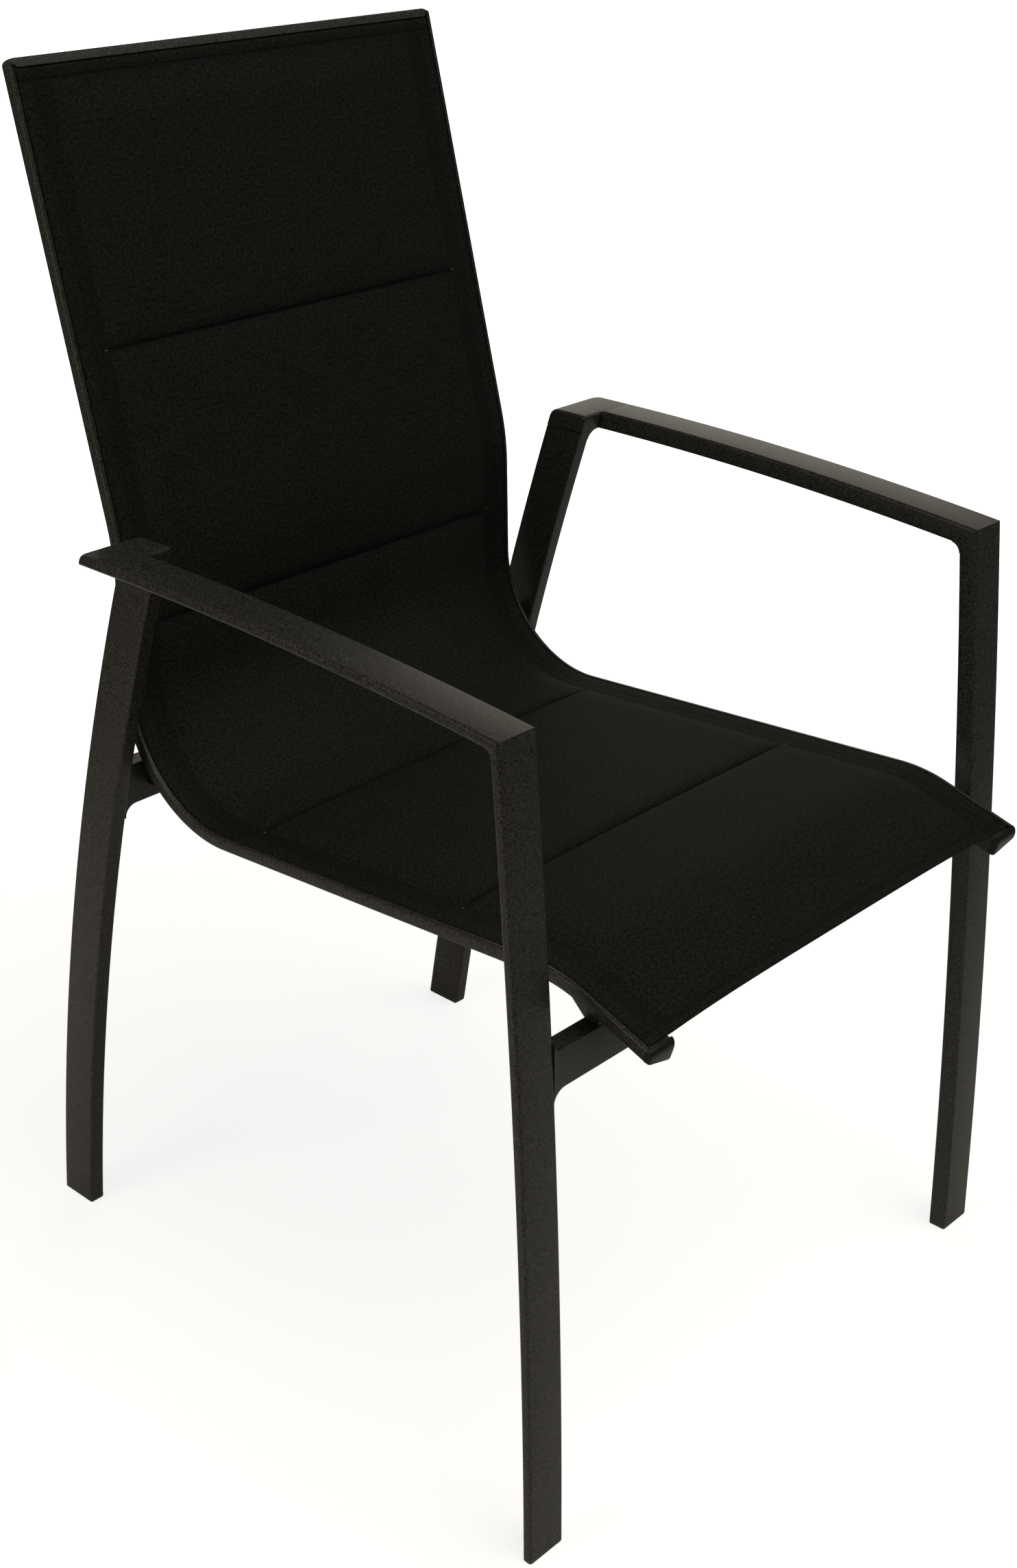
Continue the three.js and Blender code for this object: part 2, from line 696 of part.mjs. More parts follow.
// Rounds the outer corner of rail and top bar by cutting away what lies outside a quarter circle
function cornerCutter() {
  const round = topCornerRound;
  const outside = Array.from({ length: cornerSteps + 1 }, (_, k) => {
    const angle = Math.PI / 2 * k / cornerSteps;
    return [railTop.shift - round + round * Math.cos(angle), round - round * Math.sin(angle)];
  });
  const profile = [
    [railTop.shift + overrun, round],
    ...outside,
    [railTop.shift - round, -overrun],
    [railTop.shift + overrun, -overrun],
  ];
  const ring = (n) => profile.map(([x, run]) => railTop.place.clone()
    .addScaledVector(across, x)
    .addScaledVector(railTop.along, run)
    .addScaledVector(railTop.out, n));
  return skin([ring(-railInnerDepth - overrun), ring(overrun)], profile);
}
const railStations = railRuns.map((run) => railRun.at(run));
const railStart = { startPlane: cornerMitre(1) };
const railTube = sweep(railStations, sideways(railOutline()), sideways(chamber), railStart);
addPair('sling_rail', cutFrom(railTube, cornerCutter()), coat);

function topBar() {
  const outline = railOutline();
  const hole = chamber;
  const ring = (side) => {
    const points = [...outline, ...hole].map(([inset, n]) => railTop.place.clone()
      .addScaledVector(railTop.along, inset)
      .addScaledVector(railTop.out, n));
    const plane = cornerMitre(-1);
    const slid = slideTo(points, across, plane);
    return side > 0 ? slid : slid.map((point) => point.setX(-point.x));
  };
  return skin([ring(-1), ring(1)], outline, hole);
}
addPiece('top_bar', cutFrom(topBar(), cornerCutter(), mirrored(cornerCutter())), coat);

// End caps that close the front ends of the rails. Their front rounds over into the top.
const capLength = 5.2;
const capRound = 4.5;
const capTopRound = 7;
const capEdgeRound = 1.2;
const capSteps = 4;
const capPlug = 14;
function endCap() {
  const block = (edge, top) => rounded([
    [edge - railWidth, edge - railDepthAt(railWidth - edge), railRound],
    [-edge, edge - railDepthAt(edge), railRound],
    [-edge, -top, railRound],
    [edge - railWidth, -top, railRound],
  ]);
  const ring = (profile, ahead) => {
    const station = railRun.at(railRun.length + ahead);
    return ringAt(station, profile, station.shift);
  };
  const front = Array.from({ length: capSteps + 1 }, (_, k) => {
    const angle = Math.PI / 2 * k / capSteps;
    const drop = 1 - Math.cos(angle);
    return ring(block(capEdgeRound * drop, capTopRound * drop), capLength - capRound * (1 - Math.sin(angle)));
  });
  const body = skin([ring(block(0, 0), fitGap), ...front], block(0, 0));
  const [low, lowTop, highTop, high] = chamber;
  const plugRing = sideways([
    [low[0] + fitGap, low[1] + fitGap],
    [high[0] - fitGap, high[1] + fitGap],
    [highTop[0] - fitGap, highTop[1] - fitGap],
    [lowTop[0] + fitGap, lowTop[1] - fitGap],
  ]);
  const plug = skin([ring(plugRing, capLength / 2), ring(plugRing, -capPlug)], plugRing);
  return joined(body, plug);
}
addPair('rail_end_cap', endCap(), plastic);

// Blocks that carry the rails on the crossbars. Their top follows the wedge of the rail.
const blockWidth = 13;
function railBlock(outerX, runFrom, runTo, corners) {
  const between = railRuns.filter((run) => run > runFrom && run < runTo);
  const outlineAt = (x) => [...[runFrom, ...between, runTo].map((run) => underRail(run, x)), ...corners];
  const ring = (x) => outlineAt(x).map(([y, z]) => new THREE.Vector3(x, y, z));
  return skin([ring(outerX - blockWidth), ring(outerX)], outlineAt(outerX));
}
const frontBlockLength = 35.5;
const frontBlockFoot = 13.3;
const frontBlockRearRun = runWhere(
  ([y]) => y < frontBarY + frontBlockLength,
  frontBlockX,
  seatRun,
  railRun.length,
);
addPair('front_rail_block', railBlock(frontBlockX, frontBlockRearRun, frontBlockRun, [
  [frontBarY, frontBarTop + weldGap],
  [frontBarY + frontBlockFoot, frontBarTop + weldGap],
]), coat);

const rearBlockRise = 12;
const rearBlockX = armInnerX - seatRearInset - blockInset;
const rearBlockBottom = rearBarBottom + rearBlockRise;
const rearBlockTop = rearBarTop - tubeWall;
const runBelow = (height) => runWhere(([, z]) => z < height, rearBlockX, seatRearBend.start, seatRun);
addPair('rear_rail_block', railBlock(rearBlockX, runBelow(rearBlockTop), runBelow(rearBlockBottom), [
  [rearBarY - weldGap, rearBlockBottom],
  [rearBarY - weldGap, rearBlockTop],
]), coat);

// Edge rods that hold the hems in the channels
const rodGap = 0.4;
const rodRadius = channelRadius - rodGap;
const rodSides = 8;
const rodProfile = Array.from({ length: rodSides }, (_, k) => {
  const angle = 2 * Math.PI * (k + 0.5) / rodSides;
  return [rodRadius * Math.cos(angle) - channelInset, rodRadius * Math.sin(angle) - channelDepth];
});
const rodStart = channelInset + rodRadius + rodGap;
const rodRuns = [rodStart, ...railRuns.slice(1, -1), railRun.length - fitGap];
addPair('edge_rod', sweep(rodRuns.map((run) => railRun.at(run)), rodProfile), cordPlastic);
function topRod() {
  const half = railTop.shift - channelInset - rodRadius;
  const ring = (x) => rodProfile.map(([inset, n]) => railTop.place.clone()
    .addScaledVector(railTop.along, -inset)
    .addScaledVector(railTop.out, n)
    .setX(x));
  return skin([ring(-half), ring(half)], rodProfile);
}
addPiece('edge_rod_top', topRod(), cordPlastic);

// Sling: upper cloth, filling and lower cloth on one grid of stations and places across.
// Heights are measured out of the lip's line.
const slingTopRun = slotMiddle - clothThick / 2;
const slingEndRun = railRun.length - frontHemGap;
const lowerTopRun = hemWidth;
const fillTopRun = sideStitchInset + paddingShoulder;
const fillEndRun = slingEndRun - frontHem;
const seamStepShares = [-1.6, -0.4, 0.4, 1.6];
const leastStep = 6;
const slingRuns = [
  slingTopRun,
  lowerTopRun,
  fillTopRun,
  fillTopRun + crownFade,
  ...railRuns.slice(1, -1),
  ...seamRuns.flatMap((run) => seamStepShares.map((share) => run + share * seamHalfWidth)),
  fillEndRun - crownFade,
  fillEndRun,
  slingEndRun,
].sort((a, b) => a - b).filter((run, i, all) => i === 0 || run - all[i - 1] > leastStep);
const underHeight = railDeck + fitGap;
const upperHeight = underHeight + 2 * clothThick + clothGap;
const cornerMiddle = (seatRearBend.start + seatRearBend.end) / 2;
const { smoothstep, lerp } = THREE.MathUtils;
const hump = (distance, reach) => Math.exp(-((distance / reach) ** 2));
const seamDip = (run) => seamRuns.reduce((rest, seam) => rest * (1 - hump(run - seam, seamHalfWidth)), 1);
const topFade = (run) => smoothstep(run, fillTopRun, fillTopRun + crownFade);
const endFade = (run) => topFade(run) * smoothstep(fillEndRun - run, 0, crownFade);
const crownAt = (run) => seamDip(run)
  * lerp(backCrown, seatCrown, smoothstep(run, seatRearBend.start, seatRearBend.end))
  * endFade(run);
const liftAt = (run) => cornerLift * hump(run - cornerMiddle, cornerLiftReach);
const frontLiftAt = (run) => frontLift * smoothstep(run, fillEndRun - crownFade, fillEndRun);
// Places across as insets from the rail's outer edge, and as shares of the padded half width
const paddedInset = sideStitchInset + paddingShoulder;
const crownShares = [0.86, 0.5];
const crownFullness = 6;
const frontFullness = 4;
const heights = (run, share) => {
  const round = 1 - share ** crownFullness;
  const lift = liftAt(run) * (1 - share ** 2) + frontLiftAt(run) * (1 - share ** frontFullness);
  return {
    upper: upperHeight + lift + crownAt(run) * round,
    lower: underHeight + lift - underCrown * seamDip(run) * endFade(run) * round,
  };
};
function slingGrid(insets, heightOf) {
  return (station, run) => {
    const stitchX = station.shift - sideStitchInset;
    const paddedX = station.shift - paddedInset;
    return insets.map(({ inset, share }) => {
      const x = share === undefined ? station.shift - inset : share * paddedX;
      return [x, heightOf(run, Math.min(1, x / stitchX), x > stitchX)];
    });
  };
}
const paddedPlaces = crownShares.map((share) => ({ share }));
const edgeRiseShare = 0.06;
const edgeThick = (share) => (clothGap + paddingEdge) * smoothstep(1 - share, 0, edgeRiseShare);
const upperOf = (run, share, outside) => (
  outside ? upperHeight : heights(run, share).upper + edgeThick(share)
);
const lowerOf = (run, share, outside) => (outside ? underHeight : heights(run, share).lower);

// A closed layer from an upper line and a lower line, each a list of [x, n] from the edge to the middle
function layer(upperLine, lowerLine, fromRun, toRun) {
  const profileAt = (station, run) => {
    const top = upperLine(station, run);
    const low = lowerLine(station, run);
    const flip = (line) => line.map(([x, n]) => [-x, n]);
    const middleTop = [0, top.middle];
    const middleLow = [0, low.middle];
    return [
      ...low.points, middleLow, ...flip(low.points).reverse(),
      ...flip(top.points), middleTop, ...[...top.points].reverse(),
    ];
  };
  const runs = slingRuns.filter((run) => run >= fromRun && run <= toRun);
  const profiles = runs.map((run) => profileAt(railRun.at(run), run));
  return skin(runs.map((run, i) => ringAt(railRun.at(run), profiles[i])), profiles[0]);
}
const lineOf = (insets, heightOf) => (station, run) => ({
  points: slingGrid(insets, heightOf)(station, run),
  middle: heightOf(run, 0, false),
});
const raised = (heightOf, by) => (run, share, outside) => heightOf(run, share, outside) + by;
const tailInset = slotMiddle - clothThick / 2;
const tailFromRod = channelInset - tailInset - clothThick;
const tailReach = Math.sqrt((rodRadius + fitGap) ** 2 - tailFromRod ** 2) - channelDepth;
const clothPlaces = [{ inset: sideStitchInset }, { inset: paddedInset }, ...paddedPlaces];
const upperTop = lineOf([{ inset: tailInset }, ...clothPlaces], upperOf);
const underPlaces = [{ inset: tailInset + clothThick }, ...clothPlaces];
const upperUnder = (station, run) => {
  const line = lineOf(underPlaces, raised(upperOf, -clothThick))(station, run);
  const tail = [
    [station.shift - tailInset, tailReach],
    [station.shift - tailInset - clothThick, tailReach],
  ];
  return { points: [...tail, ...line.points], middle: line.middle };
};
const topTail = () => {
  const half = railTop.shift - tailInset - clothThick;
  const profile = [
    [tailInset, tailReach],
    [tailInset + clothThick, tailReach],
    [tailInset + clothThick, upperHeight - clothThick / 2],
    [tailInset, upperHeight - clothThick / 2],
  ];
  const ring = (x) => profile.map(([run, n]) => railTop.place.clone()
    .addScaledVector(railTop.along, run)
    .addScaledVector(railTop.out, n)
    .setX(x));
  return skin([ring(-half), ring(half)], profile);
};
const upperLayer = layer(upperTop, upperUnder, slingTopRun, slingEndRun);
addPiece('sling_upper_cloth', joined(upperLayer, topTail()), cloth);

const fillPlaces = [{ inset: paddedInset }, ...paddedPlaces];
addPiece('sling_filling', layer(
  lineOf(fillPlaces, raised(upperOf, -clothThick - clothGap)),
  lineOf(fillPlaces, raised(lowerOf, clothThick + clothGap)),
  fillTopRun,
  fillEndRun,
), foam);

const lowerPlaces = [{ inset: hemWidth }, ...clothPlaces];
addPiece('sling_lower_cloth', layer(
  lineOf(lowerPlaces, raised(lowerOf, clothThick)),
  lineOf(lowerPlaces, lowerOf),
  lowerTopRun,
  slingEndRun,
), cloth);

// The origin is the middle of the footprint
const bounds = new THREE.Box3().setFromObject(chair);
chair.position.y = -(bounds.min.y + bounds.max.y) / 2;
chair.updateMatrixWorld(true);

export default chair;
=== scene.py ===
"""Sling patio chair: the looks of a stacking frame of flat aluminium tube that carries a padded sling.
Metres. +Z is up, the front faces -Y, +X is the sitter's left, and the floor is z = 0."""

import math

import bmesh
import bpy
from mathutils import Matrix, Vector


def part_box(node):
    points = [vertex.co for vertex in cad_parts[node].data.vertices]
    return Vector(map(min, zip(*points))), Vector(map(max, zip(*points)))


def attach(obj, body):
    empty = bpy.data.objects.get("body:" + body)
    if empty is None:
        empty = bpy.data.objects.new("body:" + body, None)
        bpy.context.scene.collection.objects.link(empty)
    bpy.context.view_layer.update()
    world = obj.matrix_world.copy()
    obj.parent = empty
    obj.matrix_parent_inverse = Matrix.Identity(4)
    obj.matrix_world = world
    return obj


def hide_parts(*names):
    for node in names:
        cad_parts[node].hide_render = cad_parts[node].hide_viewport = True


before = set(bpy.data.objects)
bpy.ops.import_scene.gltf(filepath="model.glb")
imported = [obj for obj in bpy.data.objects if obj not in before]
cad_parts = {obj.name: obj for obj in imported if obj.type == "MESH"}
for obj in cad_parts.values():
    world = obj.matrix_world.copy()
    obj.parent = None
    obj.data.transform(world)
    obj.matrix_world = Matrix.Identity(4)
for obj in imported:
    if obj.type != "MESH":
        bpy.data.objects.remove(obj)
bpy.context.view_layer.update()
scene = bpy.context.scene
scene.view_settings.view_transform = "Standard"


# Camera: it stands in front of the chair on the sitter's right and looks down on it a little.
# The lens is long, so the two sides of the chair run nearly parallel.
camera_place = (-1.1644, -1.09207, 1.2104)
camera_down = math.radians(25.904)
camera_turn = math.radians(-46.737)
camera_data = bpy.data.cameras.new("camera")
camera_data.sensor_width = 36
camera_data.lens = 50.347
camera = bpy.data.objects.new("camera", camera_data)
camera.location = camera_place
camera.rotation_euler = (math.pi / 2 - camera_down, 0, camera_turn)
scene.collection.objects.link(camera)
scene.camera = camera


# Studio: a pale floor that takes the chair's soft shadow, a white surround, a broad soft sun and two lamps.
# The floor's colour is painted bright only near the chair and dark further out, a painted pool of lamp
# light, and the camera sees it white all over.
# The panel behind the chair is what the armrests mirror.
floor_half = 60
floor_colour = (0.78, 0.77, 0.74, 1)
floor_unlit_colour = (0.16, 0.155, 0.15, 1)
bright_radius = 0.75
dim_radius = 1.7
floor_whiteness = 0.5
floor_glow = 1.6
floor_mesh = bpy.data.meshes.new("floor")
floor_bm = bmesh.new()
bmesh.ops.create_grid(floor_bm, x_segments=1, y_segments=1, size=floor_half)
floor_bm.to_mesh(floor_mesh)
floor_bm.free()
floor = bpy.data.objects.new("floor", floor_mesh)
scene.collection.objects.link(floor)
floor_material = bpy.data.materials.new("pale_floor")
floor_material.use_nodes = True
nodes, links = floor_material.node_tree.nodes, floor_material.node_tree.links
painted = nodes["Principled BSDF"]
painted.inputs["Roughness"].default_value = 0.9
painted.inputs["Specular IOR Level"].default_value = 0.1
place = nodes.new("ShaderNodeTexCoord")
radius = nodes.new("ShaderNodeVectorMath")
radius.operation = "LENGTH"
links.new(place.outputs["Object"], radius.inputs[0])
# Painted pool of light: the floor's colour fades from pale to dark between the bright and the dim radius.
far = nodes.new("ShaderNodeMapRange")
far.interpolation_type = "SMOOTHSTEP"
far.inputs["From Min"].default_value = bright_radius
far.inputs["From Max"].default_value = dim_radius
links.new(radius.outputs["Value"], far.inputs["Value"])
shade = nodes.new("ShaderNodeMix")
shade.data_type = "RGBA"
shade.inputs["A"].default_value = floor_colour
shade.inputs["B"].default_value = floor_unlit_colour
links.new(far.outputs["Result"], shade.inputs["Factor"])
links.new(shade.outputs["Result"], painted.inputs["Base Color"])
glow = nodes.new("ShaderNodeEmission")
glow.inputs["Strength"].default_value = floor_glow
whiteness = nodes.new("ShaderNodeMath")
whiteness.operation = "MULTIPLY_ADD"
whiteness.inputs[1].default_value = 1 - floor_whiteness
whiteness.inputs[2].default_value = floor_whiteness
links.new(far.outputs["Result"], whiteness.inputs[0])
seen = nodes.new("ShaderNodeLightPath")
seen_share = nodes.new("ShaderNodeMath")
seen_share.operation = "MULTIPLY"
links.new(seen.outputs["Is Camera Ray"], seen_share.inputs[0])
links.new(whiteness.outputs[0], seen_share.inputs[1])
blend = nodes.new("ShaderNodeMixShader")
links.new(seen_share.outputs[0], blend.inputs["Fac"])
links.new(painted.outputs["BSDF"], blend.inputs[1])
links.new(glow.outputs["Emission"], blend.inputs[2])
links.new(blend.outputs["Shader"], nodes["Material Output"].inputs["Surface"])
floor_mesh.materials.append(floor_material)

surround_fill = 0.10
surround_colour = (1, 0.95, 0.86, 1)
world = bpy.data.worlds.new("surround")
scene.world = world
world.use_nodes = True
nodes, links = world.node_tree.nodes, world.node_tree.links
fill = nodes["Background"]
fill.inputs["Color"].default_value = surround_colour
fill.inputs["Strength"].default_value = surround_fill
white = nodes.new("ShaderNodeBackground")
white.inputs["Color"].default_value = (1, 1, 1, 1)
blend = nodes.new("ShaderNodeMixShader")
seen = nodes.new("ShaderNodeLightPath")
links.new(seen.outputs["Is Camera Ray"], blend.inputs["Fac"])
links.new(fill.outputs["Background"], blend.inputs[1])
links.new(white.outputs["Background"], blend.inputs[2])
links.new(blend.outputs["Shader"], nodes["World Output"].inputs["Surface"])

sun_travel = Vector((-0.15, 0.64, -1))
sun_data = bpy.data.lights.new("soft_sun", "SUN")
sun_data.energy = 1.5
sun_data.color = (1, 0.97, 0.91)
sun_data.angle = math.radians(60)
sun = bpy.data.objects.new("soft_sun", sun_data)
sun.rotation_euler = sun_travel.to_track_quat("-Z", "Y").to_euler()
scene.collection.objects.link(sun)

look_at = Vector((0, 0, 0.5))
lamp_warmth = (1, 0.93, 0.82)
lamps = {
    "panel_behind": {"place": (2.4, 2.0, 1.65), "side": 2.2, "power": 15},
    "sitter_right": {"place": (-2.6, 0.4, 1.2), "side": 1.4, "power": 24},
}
for lamp_name, facts in lamps.items():
    lamp_data = bpy.data.lights.new(lamp_name, "AREA")
    lamp_data.size = facts["side"]
    lamp_data.energy = facts["power"]
    lamp_data.color = lamp_warmth
    lamp = bpy.data.objects.new(lamp_name, lamp_data)
    lamp.location = facts["place"]
    lamp.rotation_euler = (look_at - lamp.location).to_track_quat("-Z", "Y").to_euler()
    scene.collection.objects.link(lamp)


# Armrests and front legs: flat aluminium tube with a wedge section, thick towards the sitter. Each is bent
# to a faint bow, mitred at the front corner, welded and ground flush, and powder coated in warm charcoal.
# All runs are drawn in the side view, moved to the front by so much that the chair stands centred.
side_view_shift = -0.001568
across = Vector((1, 0, 0))


def side_point(y, z):
    return Vector((0, y + side_view_shift, z))


def facing_out(along):
    """The direction square to a run in the side view: up from an armrest, to the front from a back."""
    return Vector((0, along.z, -along.y))


def station(place, along, shift=0):
    """Matrix that puts a section on a run: x stays across, y goes along the run and z faces out of it."""
    matrix = Matrix((across, along, facing_out(along))).transposed().to_4x4()
    matrix.translation = place + across * shift
    return matrix


def bowed_run(start, end, bow):
    """Function that gives the place and the direction at a share of an arc between two points."""
    chord = end - start
    half = chord.length / 2
    radius = (half**2 + bow**2) / (2 * bow)
    reach = math.asin(half / radius)
    straight = chord.normalized()
    out = facing_out(straight)
    centre = (start + end) / 2 + out * (bow - radius)

    def at(share):
        angle = reach * (2 * share - 1)
        facing = out * math.cos(angle) + straight * math.sin(angle)
        return centre + facing * radius, Vector((0, -facing.z, facing.y))

    at.length = 2 * radius * reach
    return at


def rounded_outline(bm, corners, segments=6):
    """A face in the XZ plane from corners (x, z, radius), each rounded by a bevel of its vertex."""
    verts = [bm.verts.new((x, 0, z)) for x, z, _ in corners]
    bm.faces.new(verts)
    for vert, (_, _, radius) in zip(verts, corners):
        if radius:
            bmesh.ops.bevel(
                bm,
                geom=[vert],
                offset=radius,
                segments=segments,
                profile=0.5,
                affect="VERTICES",
                material=-1,
            )
    return bm.faces[:]


def soften(bm, edges, radius, segments):
    """Rounds edges off with a bevel."""
    bmesh.ops.bevel(
        bm,
        geom=edges,
        offset=radius,
        segments=segments,
        profile=0.5,
        affect="EDGES",
        clamp_overlap=True,
        material=-1,
    )


def pull_out(bm, faces, move):
    """Makes a closed body of flat faces by pulling a copy of them out along a move."""
    grown = bmesh.ops.extrude_face_region(bm, geom=faces)["geom"]
    verts = [item for item in grown if isinstance(item, bmesh.types.BMVert)]
    bmesh.ops.translate(bm, vec=move, verts=verts)
    bmesh.ops.recalc_face_normals(bm, faces=bm.faces)


def cut_off(bm, place, outward):
    """Cuts off what lies outside a plane and closes the cut."""
    geom = bm.verts[:] + bm.edges[:] + bm.faces[:]
    cut = bmesh.ops.bisect_plane(bm, geom=geom, plane_co=place, plane_no=outward, clear_outer=True)
    edges = [item for item in cut["geom_cut"] if isinstance(item, bmesh.types.BMEdge)]
    bmesh.ops.edgenet_fill(bm, edges=edges)


def swept(corners, stations, planes=(), segments=6):
    """A closed bar: a rounded outline, extruded from station to station and cut off by planes.
    A plane is (place, outward)."""
    bm = bmesh.new()
    start = rounded_outline(bm, corners, segments)
    bmesh.ops.transform(bm, matrix=stations[0], verts=bm.verts)
    edges = start[0].edges[:]
    for before, after in zip(stations, stations[1:]):
        grown = bmesh.ops.extrude_edge_only(bm, edges=edges)["geom"]
        verts = {item for item in grown if isinstance(item, bmesh.types.BMVert)}
        edges = [item for item in grown if isinstance(item, bmesh.types.BMEdge)]
        edges = [edge for edge in edges if verts.issuperset(edge.verts)]
        bmesh.ops.transform(bm, matrix=after @ before.inverted(), verts=list(verts))
    bmesh.ops.contextual_create(bm, geom=edges)
    for place, outward in planes:
        cut_off(bm, place, outward)
    bmesh.ops.recalc_face_normals(bm, faces=bm.faces)
    return bm


def add_to(bm, other):
    """Puts a second closed body into the same piece."""
    mesh = bpy.data.meshes.new("added")
    other.to_mesh(mesh)
    other.free()
    bm.from_mesh(mesh)
    bpy.data.meshes.remove(mesh)


sharp_angle = math.radians(40)


def add_piece(name, bm, material, stands_for):
    """A piece that stands for nodes of the solids, smooth but for its sharp edges."""
    mesh = bpy.data.meshes.new(name)
    bm.to_mesh(mesh)
    mesh.shade_smooth()
    mesh.set_sharp_from_angle(angle=sharp_angle)
    mesh.materials.append(material)
    piece = bpy.data.objects.new(name, mesh)
    scene.collection.objects.link(piece)
    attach(piece, "root")
    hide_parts(*stands_for)


def add_pair(name, bm, material, slot, *nodes):
    """The piece for the sitter's left side and its mirror image for the right."""
    add_piece(f"{name}_left", bm, material, [f"{node}_l" for node in nodes])
    bmesh.ops.scale(bm, vec=(-1, 1, 1), verts=bm.verts)
    bmesh.ops.reverse_faces(bm, faces=bm.faces)
    add_piece(f"{name}_right", bm, material, [f"{node}_r" for node in nodes])
    bm.free()


grain_gain = 2.6
coat = bpy.data.materials.new("charcoal_powder_coat")
coat.use_nodes = True
nodes, links = coat.node_tree.nodes, coat.node_tree.links
surface = nodes["Principled BSDF"]
surface.inputs["Specular IOR Level"].default_value = 0.25
place = nodes.new("ShaderNodeTexCoord")
drift = nodes.new("ShaderNodeTexNoise")
drift.inputs["Scale"].default_value = 9
drift.inputs["Detail"].default_value = 3
links.new(place.outputs["Object"], drift.inputs["Vector"])
speckle = nodes.new("ShaderNodeTexNoise")
speckle.inputs["Scale"].default_value = 640
speckle.inputs["Detail"].default_value = 4
links.new(place.outputs["Object"], speckle.inputs["Vector"])
tint = nodes.new("ShaderNodeMix")
tint.data_type = "RGBA"
tint.inputs["A"].default_value = (0.0240, 0.0228, 0.0183, 1)
tint.inputs["B"].default_value = (0.0290, 0.0276, 0.0224, 1)
links.new(drift.outputs["Fac"], tint.inputs["Factor"])
spread = nodes.new("ShaderNodeMath")
spread.operation = "MULTIPLY_ADD"
spread.use_clamp = True
spread.inputs[1].default_value = grain_gain
spread.inputs[2].default_value = (1 - grain_gain) / 2
links.new(speckle.outputs["Fac"], spread.inputs[0])
grain = nodes.new("ShaderNodeMix")
grain.data_type = "RGBA"
grain.blend_type = "OVERLAY"
grain.inputs["Factor"].default_value = 0.9
links.new(tint.outputs["Result"], grain.inputs["A"])
links.new(spread.outputs[0], grain.inputs["B"])
links.new(grain.outputs["Result"], surface.inputs["Base Color"])
gloss = nodes.new("ShaderNodeMapRange")
gloss.inputs["To Min"].default_value = 0.3
gloss.inputs["To Max"].default_value = 0.4
links.new(drift.outputs["Fac"], gloss.inputs["Value"])
links.new(gloss.outputs["Result"], surface.inputs["Roughness"])
peel = nodes.new("ShaderNodeBump")
peel.inputs["Strength"].default_value = 0.35
peel.inputs["Distance"].default_value = 0.0002
links.new(speckle.outputs["Fac"], peel.inputs["Height"])
links.new(peel.outputs["Normal"], surface.inputs["Normal"])

arm_front = side_point(-0.254, 0.6483)
arm_rear = side_point(0.1688, 0.6658)
front_foot = side_point(-0.2882, 0)
arm_bow = 0.0061
front_leg_bow = 0.0066
front_leg_splay = 0.003
arm_half_span = 0.2854
arm_width = 0.035
arm_outer_edge = 0.008
arm_inner_edge = 0.0165
arm_inner_x = arm_half_span - arm_width
edge_round = 0.0023
bow_steps = 24
mitre_round = 0.009
web_inset = 0.0012
web_bite = 0.001
web_steps = 8
glide_sole = 0.005

wedge = [
    (arm_inner_x, -arm_inner_edge, edge_round),
    (arm_half_span, -arm_outer_edge, edge_round),
    (arm_half_span, 0, edge_round),
    (arm_inner_x, 0, edge_round),
]
arm_run = bowed_run(arm_rear, arm_front, arm_bow)
front_leg_run = bowed_run(arm_front, front_foot, front_leg_bow)


def shares(low, high, steps=bow_steps):
    return [low + (high - low) * step / steps for step in range(steps + 1)]


def front_leg_station(share):
    return station(*front_leg_run(share), front_leg_splay * max(0, share))


# The rear legs' run is needed here too, because the armrest ends where the corner casting starts
rear_foot = side_point(0.335, 0)
rear_leg_bow = 0.0176
rear_leg_depth = 0.0383
rear_leg_run = bowed_run(rear_foot, arm_rear, rear_leg_bow)
leg_top_place, leg_top_along = rear_leg_run(1)
leg_top_out = facing_out(leg_top_along)
cast_front = leg_top_place - leg_top_out * rear_leg_depth
cast_share = rear_leg_depth / arm_run.length

arm_away = -arm_run(1)[1]
leg_away = front_leg_run(0)[1]
mitre_across = (arm_away - leg_away).normalized()
mitre_inward = (arm_away + leg_away).normalized()
mitre_half_angle = arm_away.angle(leg_away) / 2
past_end = 0.03


def arc_points(centre, first, last, steps):
    """Points of a round arc about a centre, from the end of one spoke to the end of another."""
    turn = first.angle(last)
    points = []
    for step in range(steps + 1):
        share = step / steps
        spoke = first * math.sin(turn * (1 - share)) + last * math.sin(turn * share)
        points.append(centre + spoke / math.sin(turn))
    return points


def mitre_web():
    """The rounded inside of the mitre: a fillet, extruded from the deep edge of the tube to the thin."""

    def inward(distance):
        return arm_front + mitre_inward * (distance / math.sin(mitre_half_angle))

    spokes = []
    for away in (leg_away, arm_away):
        spoke = facing_out(away) * mitre_round
        if spoke.dot(mitre_inward) > 0:
            spoke.negate()
        spokes.append(spoke)
    centre = inward(arm_inner_edge + mitre_round)
    points = [inward(arm_inner_edge - web_bite), *arc_points(centre, *spokes, web_steps)]
    start = across * (arm_inner_x + web_inset)
    bm = bmesh.new()
    face = bm.faces.new([bm.verts.new(point + start) for point in points])
    slope = (arm_outer_edge - arm_inner_edge) / math.sin(mitre_half_angle)
    pull_out(bm, [face], across * (arm_width - 2 * web_inset) + mitre_inward * slope)
    return bm


arm_shares = shares(cast_share - past_end, 1 + past_end)
arm_cuts = [(cast_front, leg_top_out), (arm_front, -mitre_across)]
armrest = swept(wedge, [station(*arm_run(share)) for share in arm_shares], arm_cuts)
add_to(armrest, mitre_web())
add_pair("armrest", armrest, coat, "frame_coat", "armrest")

sole_top = side_point(0, glide_sole)
down = Vector((0, 0, -1))
front_leg_cuts = [(arm_front, mitre_across), (sole_top, down)]
front_leg_shares = shares(-past_end, 1 + past_end)
front_leg = swept(wedge, [front_leg_station(share) for share in front_leg_shares], front_leg_cuts)
add_pair("front_leg", front_leg, coat, "frame_coat", "front_leg")


